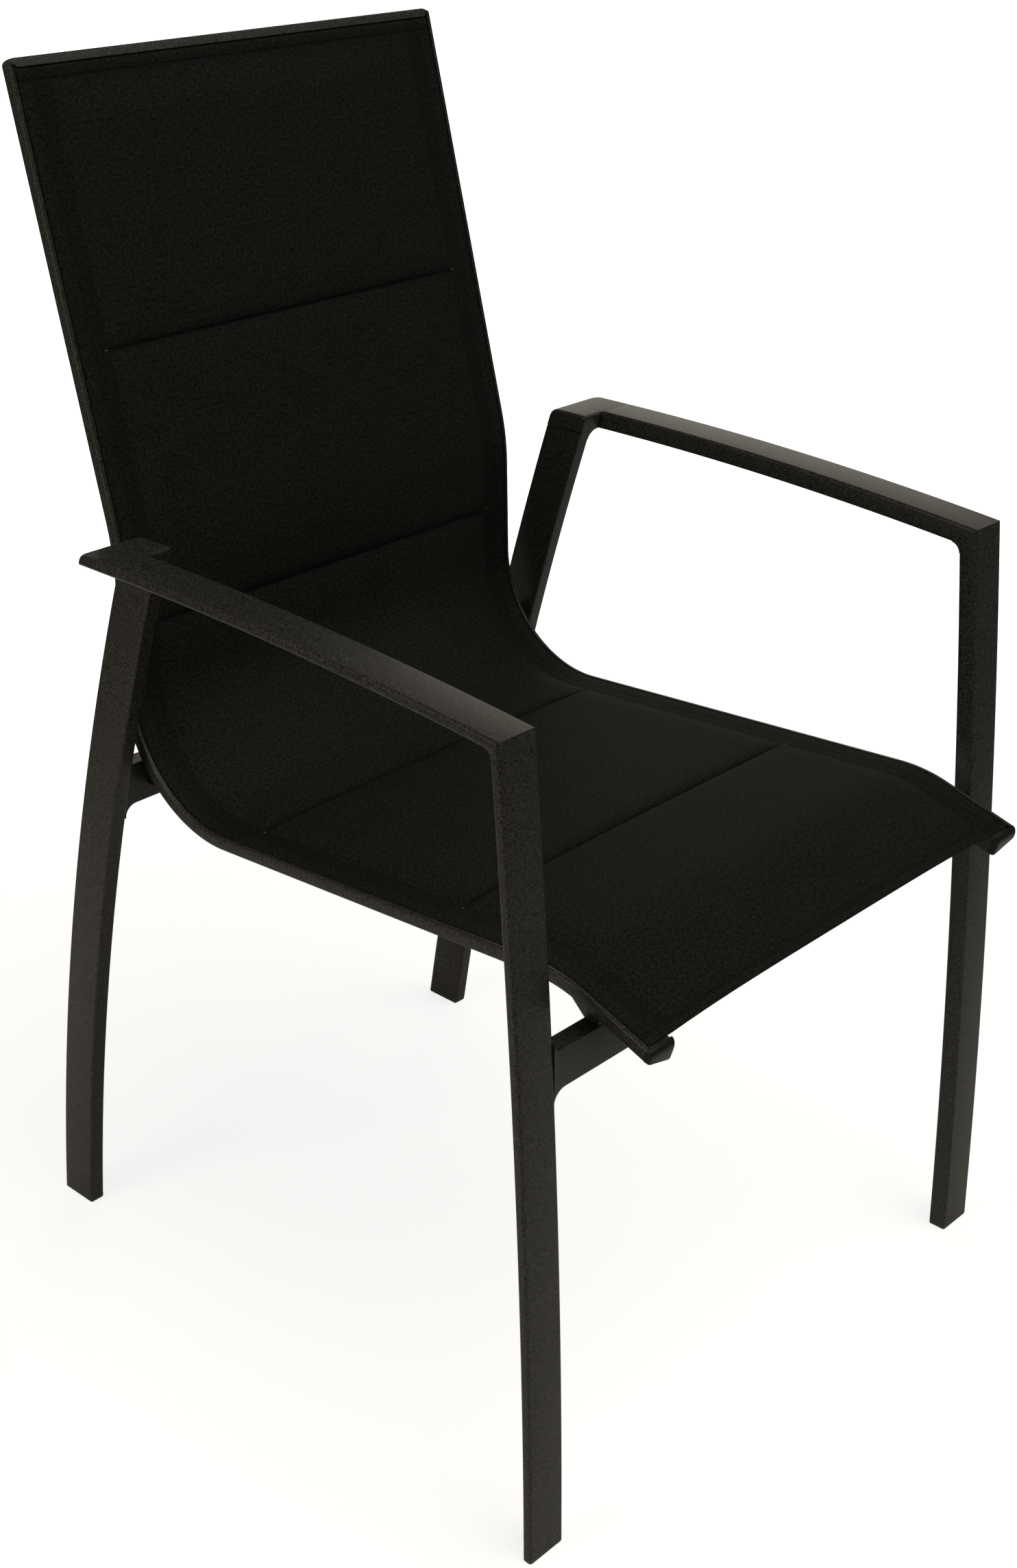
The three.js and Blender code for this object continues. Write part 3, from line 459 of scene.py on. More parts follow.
# Rear legs: a narrow deep tube, bowed to the rear and a little outwards at half height.
# Each ends under its corner casting.
rear_leg_inner_x = 0.228
rear_leg_width = 0.0142
rear_leg_side_bow = 0.0042
rear_leg_outer_x = rear_leg_inner_x + rear_leg_width
rear_leg_outline = [
    (rear_leg_inner_x, -rear_leg_depth, edge_round),
    (rear_leg_outer_x, -rear_leg_depth, edge_round),
    (rear_leg_outer_x, 0, edge_round),
    (rear_leg_inner_x, 0, edge_round),
]


def side_bow(share):
    """How far the leg stands further out at a share of its height: an arch, highest at half height."""
    return rear_leg_side_bow * 4 * share * (1 - share)


def rear_leg_station(share):
    return station(*rear_leg_run(share), side_bow(share))


cast_top_place, cast_top_along = arm_run(cast_share)
cast_top_out = facing_out(cast_top_along)
leg_end = cast_top_place - cast_top_out * arm_inner_edge
rear_leg_cuts = [(sole_top, down), (leg_end, cast_top_out)]
rear_leg_stations = [rear_leg_station(share) for share in shares(-past_end, 1)]
rear_leg = swept(rear_leg_outline, rear_leg_stations, rear_leg_cuts)
add_pair("rear_leg", rear_leg, coat, "frame_coat", "rear_leg")


# Corner castings: each closes the rear end of an armrest and carries it over to the top of the rear leg.
# Cast aluminium, ground flush at the welds, with a soft rear end and a small web under the armrest.
cast_rear_round = 0.010
cast_plan_round = 0.009
cast_web_round = 0.009
cast_steps = 8


def cast_point(depth, rear, inset):
    """Where a depth under the armrest's top meets the leg's rear or front line, drawn in by an inset."""
    line = leg_top_place - leg_top_out * inset if rear else cast_front + leg_top_out * inset
    level = cast_top_place - cast_top_out * depth
    reach = (level - line).dot(cast_top_out) / leg_top_along.dot(cast_top_out)
    return line + leg_top_along * reach


def wedge_depth(x):
    """Depth of the armrest's section at a distance from the centre plane."""
    return arm_inner_edge + (arm_outer_edge - arm_inner_edge) * max(0, x - arm_inner_x) / arm_width


def rounded_points(corners, steps):
    """Points of a flat polygon with rounded corners. Corners are (point, radius)."""
    points = []
    for i, (corner, radius) in enumerate(corners):
        back = (corners[i - 1][0] - corner).normalized()
        ahead = (corners[(i + 1) % len(corners)][0] - corner).normalized()
        half = back.angle(ahead) / 2
        centre = corner + (back + ahead).normalized() * (radius / math.sin(half))
        first = corner + back * (radius / math.tan(half)) - centre
        last = corner + ahead * (radius / math.tan(half)) - centre
        points += arc_points(centre, first, last, steps)
    return points


def cast_ring(x, depth, inset, rear_inset, front_inset, front_radius):
    """The casting's outline in the plane x, drawn in all round and more at its rear or front end."""
    sharp = edge_round / 3
    rear_radius = cast_rear_round - (rear_inset + inset) / 2
    corners = [
        (cast_point(depth - inset, False, front_inset), sharp),
        (cast_point(depth - inset, True, rear_inset + inset), sharp),
        (cast_point(inset, True, rear_inset + inset), rear_radius),
        (cast_point(inset, False, front_inset), front_radius),
    ]
    return [point + across * x for point in rounded_points(corners, cast_steps)]


def lofted(rings):
    """A closed body through rings with the same number of points, bridged one to the next."""
    bm = bmesh.new()
    loops = []
    for ring in rings:
        verts = [bm.verts.new(point) for point in ring]
        loops.append([bm.edges.new((verts[i - 1], verts[i])) for i in range(len(verts))])
    for first, last in zip(loops, loops[1:]):
        bmesh.ops.bridge_loops(bm, edges=first + last)
    bmesh.ops.contextual_create(bm, geom=loops[0])
    bmesh.ops.contextual_create(bm, geom=loops[-1])
    bmesh.ops.recalc_face_normals(bm, faces=bm.faces)
    return bm


def casting():
    """Rings from the leg's inner side over the armrest's width to the rounded outer side."""
    quarter = [math.pi / 2 * step / cast_steps for step in range(cast_steps + 1)]
    sharp = edge_round / 10
    rings = []
    for angle in quarter:
        inset = edge_round * (1 - math.sin(angle))
        x = rear_leg_inner_x + edge_round * (1 - math.cos(angle))
        rings.append(cast_ring(x, arm_inner_edge, inset, 0, inset, edge_round))
    rings.append(cast_ring(arm_inner_x - edge_round, arm_inner_edge, 0, 0, 0, edge_round))
    rings.append(cast_ring(arm_inner_x, arm_inner_edge, 0, 0, 0, sharp))
    for angle in quarter:
        x = arm_half_span - cast_plan_round * (1 - math.sin(angle))
        past = max(0, x - (arm_half_span - edge_round))
        inset = edge_round - math.sqrt(max(0, edge_round**2 - past**2))
        rear_inset = cast_plan_round * (1 - math.cos(angle))
        rings.append(cast_ring(x, wedge_depth(x), inset, rear_inset, 0, sharp))
    return lofted(rings)


def casting_web():
    """The fillet between the leg's outer side and the underside of the armrest, as deep as the leg."""
    low_share = 1 - (arm_inner_edge + 2 * cast_web_round) / rear_leg_run.length
    wall_x = rear_leg_outer_x + side_bow(low_share)
    inside = arm_inner_edge - 2 * web_bite
    profile = [(wall_x - web_bite, inside), (wall_x + cast_web_round, inside)]
    for step in range(cast_steps + 1):
        angle = math.pi / 2 * step / cast_steps
        x = wall_x + cast_web_round * (1 - math.sin(angle))
        profile.append((x, arm_inner_edge + cast_web_round * (1 - math.cos(angle))))
    profile.append((wall_x - web_bite, arm_inner_edge + cast_web_round))
    rings = []
    for rear in (False, True):
        rings.append([cast_point(depth, rear, edge_round / 2) + across * x for x, depth in profile])
    return lofted(rings)


arm_corner = casting()
add_to(arm_corner, casting_web())
add_pair("arm_corner", arm_corner, coat, "frame_coat", "arm_corner")


# Foot glides: moulded soles with a plug in the leg's end, in the colour of the frame.
# Their lower edge is rounded, so the chair slides over joints between paving.
glide_round = 0.003
glide_steps = 5


def grained_material(name, dark, light, scale, detail=2, roughness=0.6, specular=0.5, bump=0, depth=0.0001):
    """A dull finish whose colour wanders between two tints, with a fine bump of the same pattern."""
    material = bpy.data.materials.new(name)
    material.use_nodes = True
    nodes, links = material.node_tree.nodes, material.node_tree.links
    surface = nodes["Principled BSDF"]
    surface.inputs["Roughness"].default_value = roughness
    surface.inputs["Specular IOR Level"].default_value = specular
    place = nodes.new("ShaderNodeTexCoord")
    scuff = nodes.new("ShaderNodeTexNoise")
    scuff.inputs["Scale"].default_value = scale
    scuff.inputs["Detail"].default_value = detail
    links.new(place.outputs["Object"], scuff.inputs["Vector"])
    tint = nodes.new("ShaderNodeMix")
    tint.data_type = "RGBA"
    tint.inputs["A"].default_value = dark
    tint.inputs["B"].default_value = light
    links.new(scuff.outputs["Fac"], tint.inputs["Factor"])
    links.new(tint.outputs["Result"], surface.inputs["Base Color"])
    rough = nodes.new("ShaderNodeBump")
    rough.inputs["Strength"].default_value = bump
    rough.inputs["Distance"].default_value = depth
    links.new(scuff.outputs["Fac"], rough.inputs["Height"])
    links.new(rough.outputs["Normal"], surface.inputs["Normal"])
    return material


sole = grained_material(
    "moulded_sole",
    dark=(0.024, 0.023, 0.020, 1),
    light=(0.034, 0.0325, 0.029, 1),
    scale=220,
    detail=4,
    roughness=0.55,
    bump=0.2,
    depth=0.0002,
)


def foot_glide(outline, at_foot, along):
    """The leg's own section, carried down to the floor and rounded below."""
    bm = bmesh.new()
    rounded_outline(bm, outline)
    bmesh.ops.transform(bm, matrix=at_foot, verts=bm.verts)
    for vert in bm.verts:
        vert.co += along * (-vert.co.z / along.z)
    pull_out(bm, bm.faces[:], along * (glide_sole / along.z))
    low_edges = [edge for edge in bm.edges if all(vert.co.z < glide_sole / 2 for vert in edge.verts)]
    soften(bm, low_edges, glide_round, glide_steps)
    return bm


front_glide = foot_glide(wedge, front_leg_station(1), front_leg_run(1)[1])
add_pair("foot_glide_front", front_glide, sole, "plastic", "foot_glide_front")
rear_glide = foot_glide(rear_leg_outline, rear_leg_station(0), rear_leg_run(0)[1])
add_pair("foot_glide_rear", rear_glide, sole, "plastic", "foot_glide_rear")


# Crossbars: flat tube across the chair, in front between the front legs and behind between the rear legs.
# They flare into the legs with a radius above and below, and the weld is ground away.
bar_depth = 0.0155
bar_lower_round = 0.011
bar_upper_round = 0.006
bar_edge_round = 0.0018
bar_bite = 0.0006
bar_edge_steps = 4
flare_steps = 8


def crossbar(half_length, bottom, height, front):
    """A flat outline with four flared ends, extruded to the bar's depth and softened along its edges."""
    bm = bmesh.new()
    top = bottom + height
    flares = [
        (1, bottom, -bar_lower_round),
        (1, top, bar_upper_round),
        (-1, top, bar_upper_round),
        (-1, bottom, -bar_lower_round),
    ]
    verts = []
    for side, level, reach in flares:
        rise = []
        for step in range(flare_steps + 1):
            angle = math.pi / 2 * step / flare_steps
            x = side * (half_length - abs(reach) * (1 - math.sin(angle)))
            rise.append((x, front, level + reach * (1 - math.cos(angle))))
        if (side > 0) == (reach > 0):
            rise.reverse()
        verts += [bm.verts.new(point) for point in rise]
    pull_out(bm, [bm.faces.new(verts)], (0, bar_depth, 0))

    def on_outline(edge):
        flat = abs(edge.verts[0].co.y - edge.verts[1].co.y) < bar_bite
        at_leg = all(abs(vert.co.x) > half_length - bar_bite for vert in edge.verts)
        return flat and not at_leg

    soften(bm, [edge for edge in bm.edges if on_outline(edge)], bar_edge_round, bar_edge_steps)
    return bm


front_bar_bottom = 0.387
front_bar_height = 0.031
front_bar_front = side_point(-0.2735, 0).y
front_bar_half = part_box("front_crossbar")[1].x + bar_bite
front_bar = crossbar(front_bar_half, front_bar_bottom, front_bar_height, front_bar_front)
add_piece("front_crossbar_tube", front_bar, coat, ["front_crossbar"])
front_bar.free()

rear_bar_bottom = 0.428
rear_bar_height = 0.034
rear_bar_front = side_point(0.208, 0).y
rear_bar_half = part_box("rear_crossbar")[1].x + bar_bite
rear_bar = crossbar(rear_bar_half, rear_bar_bottom, rear_bar_height, rear_bar_front)
add_piece("rear_crossbar_tube", rear_bar, coat, ["rear_crossbar"])
rear_bar.free()


# Sling rails and top bar: one extrusion with a lip on the outside, a slot beside it and a round channel
# under the slot that holds the rod of the sling's hem. Two rails are bent to the seat's line, and the top
# bar joins them with mitred corners.
def bent_run(corners):
    """Function that gives the place, the direction and the distance from the centre plane at a length from
    the start, through round bends. Corners are (point, bend radius, distance from the centre plane)."""
    pieces = []
    length = 0
    start, span = corners[0][0], corners[0][2]
    for before, corner, after in zip(corners, corners[1:], corners[2:] + [None]):
        into = (corner[0] - before[0]).normalized()
        if after is None:
            pieces.append((length, length + (corner[0] - start).length, start, into, 0, span, corner[2]))
            length = pieces[-1][1]
            break
        away = (after[0] - corner[0]).normalized()
        turn = into.angle(away)
        lean = math.copysign(1, -into.cross(away).x)
        reach = corner[1] * math.tan(turn / 2)
        span_in = corner[2] + (before[2] - corner[2]) * reach / (corner[0] - before[0]).length
        span_out = corner[2] + (after[2] - corner[2]) * reach / (after[0] - corner[0]).length
        bend_start = corner[0] - into * reach
        straight = (bend_start - start).length
        pieces.append((length, length + straight, start, into, 0, span, span_in))
        length += straight
        bend_length = corner[1] * turn
        bend = lean * corner[1]
        pieces.append((length, length + bend_length, bend_start, into, bend, span_in, span_out))
        length += bend_length
        start, span = corner[0] + away * reach, span_out

    def at(run):
        piece = next((item for item in pieces if run <= item[1]), pieces[-1])
        begin, end, point, along, bend, span_from, span_to = piece
        travelled = run - begin
        shift = span_from + (span_to - span_from) * travelled / (end - begin)
        if not bend:
            return point + along * travelled, along, shift
        out = facing_out(along)
        angle = travelled / bend
        facing = out * math.cos(angle) - along * math.sin(angle)
        ahead = along * math.cos(angle) + out * math.sin(angle)
        return point + out * bend - facing * bend, ahead, shift

    at.length = length
    at.pieces = pieces
    return at


rail_run = bent_run(
    [
        (side_point(0.2988, 0.9914), 0, 0.2134),
        (side_point(0.209, 0.6343), 0.200, 0.2153),
        (side_point(0.2098, 0.4247), 0.098, 0.2198),
        (side_point(-0.2465, 0.4563), 0.129, 0.2194),
        (side_point(-0.3281, 0.4306), 0, 0.2229),
    ]
)
rail_width = 0.026
rail_depth = 0.0103
rail_inner_depth = 0.019
rail_round = 0.0015
lip_width = 0.0036
lip_round = 0.0016
top_lip_width = 0.0072
top_lip_drop = 0.0018
lip_height = 0.0022
slot_width = 0.0018
slot_depth = 0.0052
slot_round = 0.0004
lip_inner_round = 0.0006
top_corner_round = 0.008
top_corner_cuts = 9
bend_step = math.radians(2.5)
section_steps = 4
before_start = 0.02


def bar_section(lip, drop):
    """Corners of the extrusion from its outer edge inwards: (inset, height, radius).
    The lip's outer edge lies a drop below its inner edge."""
    return [
        (0, -rail_depth, rail_round),
        (rail_width, -rail_inner_depth, rail_round),
        (rail_width, -lip_height, rail_round),
        (lip + slot_width, -lip_height, slot_round),
        (lip + slot_width, -slot_depth, 0),
        (lip, -slot_depth, 0),
        (lip, 0, lip_inner_round),
        (0, -drop, lip_round),
    ]


def rail_runs():
    """Lengths along the rail: the ends of the straight stretches, and short even steps round the bends."""
    runs = [0.0]
    for begin, end, _, _, bend, _, _ in rail_run.pieces:
        steps = max(1, round((end - begin) / abs(bend) / bend_step)) if bend else 1
        runs += [begin + (end - begin) * (step + 1) / steps for step in range(steps)]
    return runs


def rail_station(run):
    place, along, shift = rail_run(run)
    return station(place, along, shift)


top_place, top_along, top_half = rail_run(0)
corner_place = top_place + across * top_half
corner_mitre = (across + top_along).normalized()


def round_top_corner(bm, side=1):
    """Rounds the outer corner of the frame in the plane of the back, with a fan of flat cuts."""
    centre = top_place + across * side * (top_half - top_corner_round) + top_along * top_corner_round
    reach = top_corner_round / math.cos(math.pi / 4 / top_corner_cuts)
    for step in range(top_corner_cuts):
        angle = math.pi / 2 * (step + 0.5) / top_corner_cuts
        outward = across * side * math.cos(angle) - top_along * math.sin(angle)
        cut_off(bm, centre + outward * reach, outward)
    bmesh.ops.recalc_face_normals(bm, faces=bm.faces)


rail_stations = [rail_station(run) for run in [-before_start] + rail_runs()]
rail_section = [(-inset, height, radius) for inset, height, radius in bar_section(lip_width, 0)]
sling_rail = swept(rail_section, rail_stations, [(corner_place, -corner_mitre)], section_steps)
round_top_corner(sling_rail)
add_pair("sling_rail", sling_rail, coat, "frame_coat", "sling_rail")


def top_bar():
    """The rails' section, laid across the chair and mitred at both ends."""
    bm = bmesh.new()
    rounded_outline(bm, bar_section(top_lip_width, top_lip_drop), section_steps)
    long_way = Matrix((top_along, -across, facing_out(top_along))).transposed().to_4x4()
    long_way.translation = top_place + across * (top_half + before_start)
    bmesh.ops.transform(bm, matrix=long_way, verts=bm.verts)
    pull_out(bm, bm.faces[:], across * (-2 * (top_half + before_start)))
    for side in (1, -1):
        cut_off(bm, top_place + across * side * top_half, (across * side + top_along).normalized())
        round_top_corner(bm, side)
    return bm


back_top_bar = top_bar()
add_piece("back_top_bar", back_top_bar, coat, ["top_bar"])
back_top_bar.free()


# End caps: black moulded plastic, pushed into the front ends of the rails. The front rounds over into the
# top, and the sides follow the rail's wedge.
cap_length = 0.0052
cap_round = 0.0045
cap_top_round = 0.007
cap_edge_round = 0.0012
cap_corner_round = rail_round
cap_gap = 0.0003
cap_steps = 8
cap_corner_steps = 4
cap_plastic = bpy.data.materials.new("black_plastic")
cap_plastic.use_nodes = True
nodes, links = cap_plastic.node_tree.nodes, cap_plastic.node_tree.links
surface = nodes["Principled BSDF"]
surface.inputs["Base Color"].default_value = (0.009, 0.009, 0.008, 1)
surface.inputs["Specular IOR Level"].default_value = 0.19
place = nodes.new("ShaderNodeTexCoord")
spark = nodes.new("ShaderNodeTexNoise")
spark.inputs["Scale"].default_value = 1600
links.new(place.outputs["Object"], spark.inputs["Vector"])
gloss = nodes.new("ShaderNodeMapRange")
gloss.inputs["To Min"].default_value = 0.28
gloss.inputs["To Max"].default_value = 0.4
links.new(spark.outputs["Fac"], gloss.inputs["Value"])
links.new(gloss.outputs["Result"], surface.inputs["Roughness"])
rough = nodes.new("ShaderNodeBump")
rough.inputs["Strength"].default_value = 0.15
rough.inputs["Distance"].default_value = 0.0001
links.new(spark.outputs["Fac"], rough.inputs["Height"])
links.new(rough.outputs["Normal"], surface.inputs["Normal"])


def cap_ring(ahead, edge, top):
    """The cap's outline at a length past the rail, drawn in at its edges and lowered at its top."""
    slope = (rail_inner_depth - rail_depth) / rail_width
    corners = [
        (edge - rail_width, edge - rail_depth - slope * (rail_width - edge)),
        (-edge, edge - rail_depth - slope * edge),
        (-edge, -top),
        (edge - rail_width, -top),
    ]
    at_end = rail_station(rail_run.length + ahead)
    points = [(at_end @ Vector((x, 0, height)), cap_corner_round) for x, height in corners]
    return rounded_points(points, cap_corner_steps)


def end_cap():
    rings = [cap_ring(cap_gap, 0, 0)]
    for step in range(cap_steps + 1):
        angle = math.pi / 2 * step / cap_steps
        drop = 1 - math.cos(angle)
        ahead = cap_length - cap_round * (1 - math.sin(angle))
        rings.append(cap_ring(ahead, cap_edge_round * drop, cap_top_round * drop))
    return lofted(rings)


add_pair("rail_end_cap", end_cap(), cap_plastic, "plastic", "rail_end_cap")


# Rail blocks: short aluminium spacers that are welded between the crossbars and the rails.
# The front ones stand on the front crossbar, and the rear ones reach from the rear crossbar to the bend.
block_round = 0.0012
block_steps = 3
same_point = 1e-5
flat_angle = math.radians(4)


def rail_block(node):
    """The block's solid with its facets merged and its edges softened."""
    bm = bmesh.new()
    bm.from_mesh(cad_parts[node].data)
    bmesh.ops.remove_doubles(bm, verts=bm.verts, dist=same_point)
    bmesh.ops.dissolve_limit(bm, angle_limit=flat_angle, verts=bm.verts, edges=bm.edges)
    soften(bm, bm.edges[:], block_round, block_steps)
    return bm


for block in ("front_rail_block", "rear_rail_block"):
    add_pair(block.replace("rail", "spacer"), rail_block(f"{block}_l"), coat, "frame_coat", block)


# Edge rods: solid plastic rods in the hems, which can't slip out through the slots.
# Hardly anything of them shows, so their solids stay and get a plain dark plastic.
rod_plastic = grained_material("rod_plastic", (0.020, 0.020, 0.019, 1), (0.032, 0.031, 0.029, 1), scale=300)
for rod in ("edge_rod_l", "edge_rod_r", "edge_rod_top"):
    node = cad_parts[rod]
    node.data.materials.clear()
    node.data.materials.append(rod_plastic)


# Padded sling: two layers of charcoal mesh cloth with a thin filling, quilted by four cross seams and
# closed by a double line of stitches on each side. It is stretched between the rails and lifts off their
# bend. Its hems hold the rods in the slots, and the filling ends at the inner stitches in a soft shoulder.
slot_middle = lip_width + slot_width / 2
cloth_thick = 0.0008
hem_thick = 0.0019
tail_depth = 0.0034
slot_roll = 0.0040
slot_drop = 0.0011
fold_round = 0.0006
outer_stitch = 0.020
inner_stitch = 0.029
sling_start = slot_middle - cloth_thick / 2
top_start = sling_start + top_lip_width - lip_width
front_setback = 0.0022
sling_end = rail_run.length - front_setback
top_hem = 0.0178
front_hem = 0.0085
seam_runs = (0.2156, 0.4284, 0.6524, 0.8681)
shoulder_reach = 0.018
top_reach = 0.034
back_crown = 0.0045
seat_crown = 0.0075
under_share = 0.3
flat_crown_share = 0.55
valley_reach = 0.015
valley_share = 0.22
crease_reach = 0.0026
crease_share = 0.5
stitch_pull = 0.0006
stitch_reach = 0.0014
corner_lift = 0.012
corner_reach = 0.062
front_lift = 0.0058
front_rise = 0.026
# Width of the painted shade lines, and their share on the hem and stitch lines.
line_reach = 0.0019
hem_shade_share = 0.38
row_step = 0.0066
tail_step = 0.0003
roll_step = 0.0014
first_flat_column = 0.013
shoulder_gap = 0.0045
inner_columns = 36
bend_start, bend_end = rail_run.pieces[3][:2]
bend_middle = (bend_start + bend_end) / 2


def smooth_step(value, low, high):
    share = min(1, max(0, (value - low) / (high - low)))
    return share * share * (3 - 2 * share)


def hump(distance, reach):
    """A soft bell: 1 at no distance, about a third at the reach and nearly nothing at twice the reach."""
    return math.exp(-((distance / reach) ** 2))


def evenly(low, high, step):
    """Places from low up to but without high, about a step apart."""
    count = max(1, round((high - low) / step))
    return [low + (high - low) * i / count for i in range(count)]


def sling_rows():
    """Lengths along the sling: even rows, closer beside each seam and hem stitch and at the folded ends."""
    rows = [top_start, top_start + tail_step, top_start + roll_step]
    stops = [top_start + slot_roll, top_hem, *seam_runs, sling_end - front_hem, sling_end - cloth_thick]
    for low, high in zip(stops, stops[1:]):
        near = [low, low + stitch_reach / 2, low + 1.5 * stitch_reach]
        last = [high - 1.5 * stitch_reach, high - stitch_reach / 2]
        rows += near + evenly(near[-1] + 2 * stitch_reach, last[0] - stitch_reach, row_step) + last
    return rows + [stops[-1], sling_end]


def sling_insets():
    """Distances in from the rail's outer edge, from the slot to the shoulder of the filling."""
    insets = [sling_start + step for step in (0, tail_step, roll_step, slot_roll)]
    insets += evenly(first_flat_column, outer_stitch - stitch_reach, row_step)
    for line in (outer_stitch, inner_stitch):
        insets += [line - stitch_reach, line, line + stitch_reach]
    return insets + evenly(inner_stitch + shoulder_gap, inner_stitch + shoulder_reach, row_step)


def seam_rest(run):
    """Share of the crown that is left near a seam: a narrow crease in a wider valley."""
    gap = min(abs(run - seam) for seam in seam_runs)
    return 1 - crease_share * math.exp(-gap / crease_reach) - valley_share * hump(gap, valley_reach)


def hem_gaps(run, inset):
    """Distances to the stitch lines of the two sides, the top hem and the front hem."""
    return inset - outer_stitch, inset - inner_stitch, run - top_hem, sling_end - front_hem - run


def sling_heights(run, inset, half):
    """Heights of the upper and the lower face over the lip's line, at an inset from the outer edge."""
    from_front = sling_end - front_hem - run
    filled = smooth_step(inset - inner_stitch, 0, shoulder_reach)
    filled *= smooth_step(run - top_hem, 0, top_reach) * smooth_step(from_front, 0, front_rise)
    out_share = min(1, (half - inset) / (half - inner_stitch))
    middle_share = 1 - out_share**2
    seat_share = smooth_step(run, bend_start, bend_end)
    crown = back_crown + (seat_crown - back_crown) * seat_share
    crown *= filled * seam_rest(run) * (flat_crown_share + (1 - flat_crown_share) * middle_share)
    lift = corner_lift * hump(run - bend_middle, corner_reach) * middle_share
    lift += front_lift * smooth_step(-from_front, -front_rise, 0) * (1 - out_share**4)
    pulled = stitch_pull * sum(hump(gap, stitch_reach) for gap in hem_gaps(run, inset))
    into_slot = min(inset - sling_start, run - top_start)
    roll = min(1, max(0, 1 - into_slot / slot_roll))
    dropped = slot_drop * (1 - math.sqrt(1 - roll**2))
    folded = fold_round * max(0, 1 - (sling_end - run) / cloth_thick)
    top = lift + crown - pulled - dropped - folded
    return top, lift - hem_thick - under_share * crown + pulled / 2 + folded


def sling_point(run, x, upper, in_slot=False):
    """A point on the upper or lower face of the sling, or at the bottom of a slot."""
    place, along, half = rail_run(run)
    height = -tail_depth
    if not in_slot:
        top, under = sling_heights(run, half - abs(x), half)
        height = top if upper else under
    return place + across * x + facing_out(along) * height


def column_places(half):
    """Distances of the columns from the centre plane, from the sitter's right to the left."""
    insets = sling_insets()
    padded = half - insets[-1]
    inner = [padded * (2 * i / inner_columns - 1) for i in range(1, inner_columns)]
    return [inset - half for inset in insets] + inner + [half - inset for inset in reversed(insets)]


def sling_layer(bm, upper):
    """One face of the sling: a grid whose points are set on the rows and columns. The first two of each lie
    in the slot, where the lower cloth stays a cloth's thickness inside the upper one."""
    places = [column_places(rail_run(run)[2]) for run in rows]
    last = len(places[0]) - 1
    tail = 0 if upper else cloth_thick
    size = 0.5
    made = bmesh.ops.create_grid(bm, x_segments=last, y_segments=len(rows) - 1, size=size)
    for vert in made["verts"]:
        column = round((vert.co.x + size) / (2 * size) * last)
        row = round((vert.co.y + size) / (2 * size) * (len(rows) - 1))
        run = rows[row] + (tail if row < 2 else 0)
        x = places[row][column]
        if column < 2 or last - column < 2:
            x -= math.copysign(tail, x)
        vert.co = sling_point(run, x, upper, row == 0 or column in (0, last))
        weave[vert] = (x, run)
        # Painted shade: dark along the seam creases and fainter along the hem and stitch lines, where shade
        # falls.
        inset = rail_run(run)[2] - abs(x)
        seam_gap = min(abs(run - seam) for seam in seam_runs)
        on_seam = hump(seam_gap, line_reach) * smooth_step(inset - inner_stitch, -line_reach, line_reach)
        on_hem = hem_shade_share * max(hump(gap, line_reach) for gap in hem_gaps(run, inset))
        vert[painted_seam_shade] = max(on_seam, on_hem)


rows = sling_rows()
weave = {}
sling = bmesh.new()
painted_seam_shade = sling.verts.layers.float.new("painted_seam_shade")
sling_layer(sling, True)
sling_layer(sling, False)
rims = [edge for edge in sling.edges if edge.is_boundary]
bmesh.ops.bridge_loops(sling, edges=rims)
bmesh.ops.recalc_face_normals(sling, faces=sling.faces)
uv = sling.loops.layers.uv.new("weave")
for face in sling.faces:
    face.smooth = True
    for loop in face.loops:
        loop[uv].uv = weave[loop.vert]

yarns_per_metre = 900
cloth = bpy.data.materials.new("charcoal_mesh_cloth")
cloth.use_nodes = True
nodes, links = cloth.node_tree.nodes, cloth.node_tree.links
surface = nodes["Principled BSDF"]
surface.inputs["Roughness"].default_value = 0.75
surface.inputs["Specular IOR Level"].default_value = 0.09
woven = nodes.new("ShaderNodeUVMap")
woven.uv_map = "weave"
split = nodes.new("ShaderNodeSeparateXYZ")
links.new(woven.outputs["UV"], split.inputs["Vector"])


def yarn_wave(axis):
    """A wave that crosses zero at every yarn of one direction."""
    scaled = nodes.new("ShaderNodeMath")
    scaled.operation = "MULTIPLY"
    scaled.inputs[1].default_value = yarns_per_metre * math.pi
    links.new(split.outputs[axis], scaled.inputs[0])
    wave = nodes.new("ShaderNodeMath")
    wave.operation = "SINE"
    links.new(scaled.outputs[0], wave.inputs[0])
    return wave.outputs[0]


over = nodes.new("ShaderNodeMath")
over.operation = "MULTIPLY"
links.new(yarn_wave("X"), over.inputs[0])
links.new(yarn_wave("Y"), over.inputs[1])
melange = nodes.new("ShaderNodeTexNoise")
melange.inputs["Scale"].default_value = 400
melange.inputs["Detail"].default_value = 5
melange.inputs["Roughness"].default_value = 0.7
links.new(woven.outputs["UV"], melange.inputs["Vector"])
mottle = nodes.new("ShaderNodeMath")
mottle.operation = "MULTIPLY_ADD"
mottle.inputs[1].default_value = 0.12
links.new(over.outputs[0], mottle.inputs[0])
links.new(melange.outputs["Fac"], mottle.inputs[2])
contrast = nodes.new("ShaderNodeMapRange")
contrast.inputs["From Min"].default_value = 0.35
contrast.inputs["From Max"].default_value = 0.65
links.new(mottle.outputs[0], contrast.inputs["Value"])
tint = nodes.new("ShaderNodeMix")
tint.data_type = "RGBA"
tint.inputs["A"].default_value = (0.0010, 0.00105, 0.0009, 1)
tint.inputs["B"].default_value = (0.0194, 0.0194, 0.0166, 1)
links.new(contrast.outputs["Result"], tint.inputs["Factor"])
patches = nodes.new("ShaderNodeTexNoise")
patches.inputs["Scale"].default_value = 30
patches.inputs["Detail"].default_value = 4
links.new(woven.outputs["UV"], patches.inputs["Vector"])
aged = nodes.new("ShaderNodeMix")
aged.data_type = "RGBA"
aged.blend_type = "SOFT_LIGHT"
aged.inputs["Factor"].default_value = 0.15
links.new(tint.outputs["Result"], aged.inputs["A"])
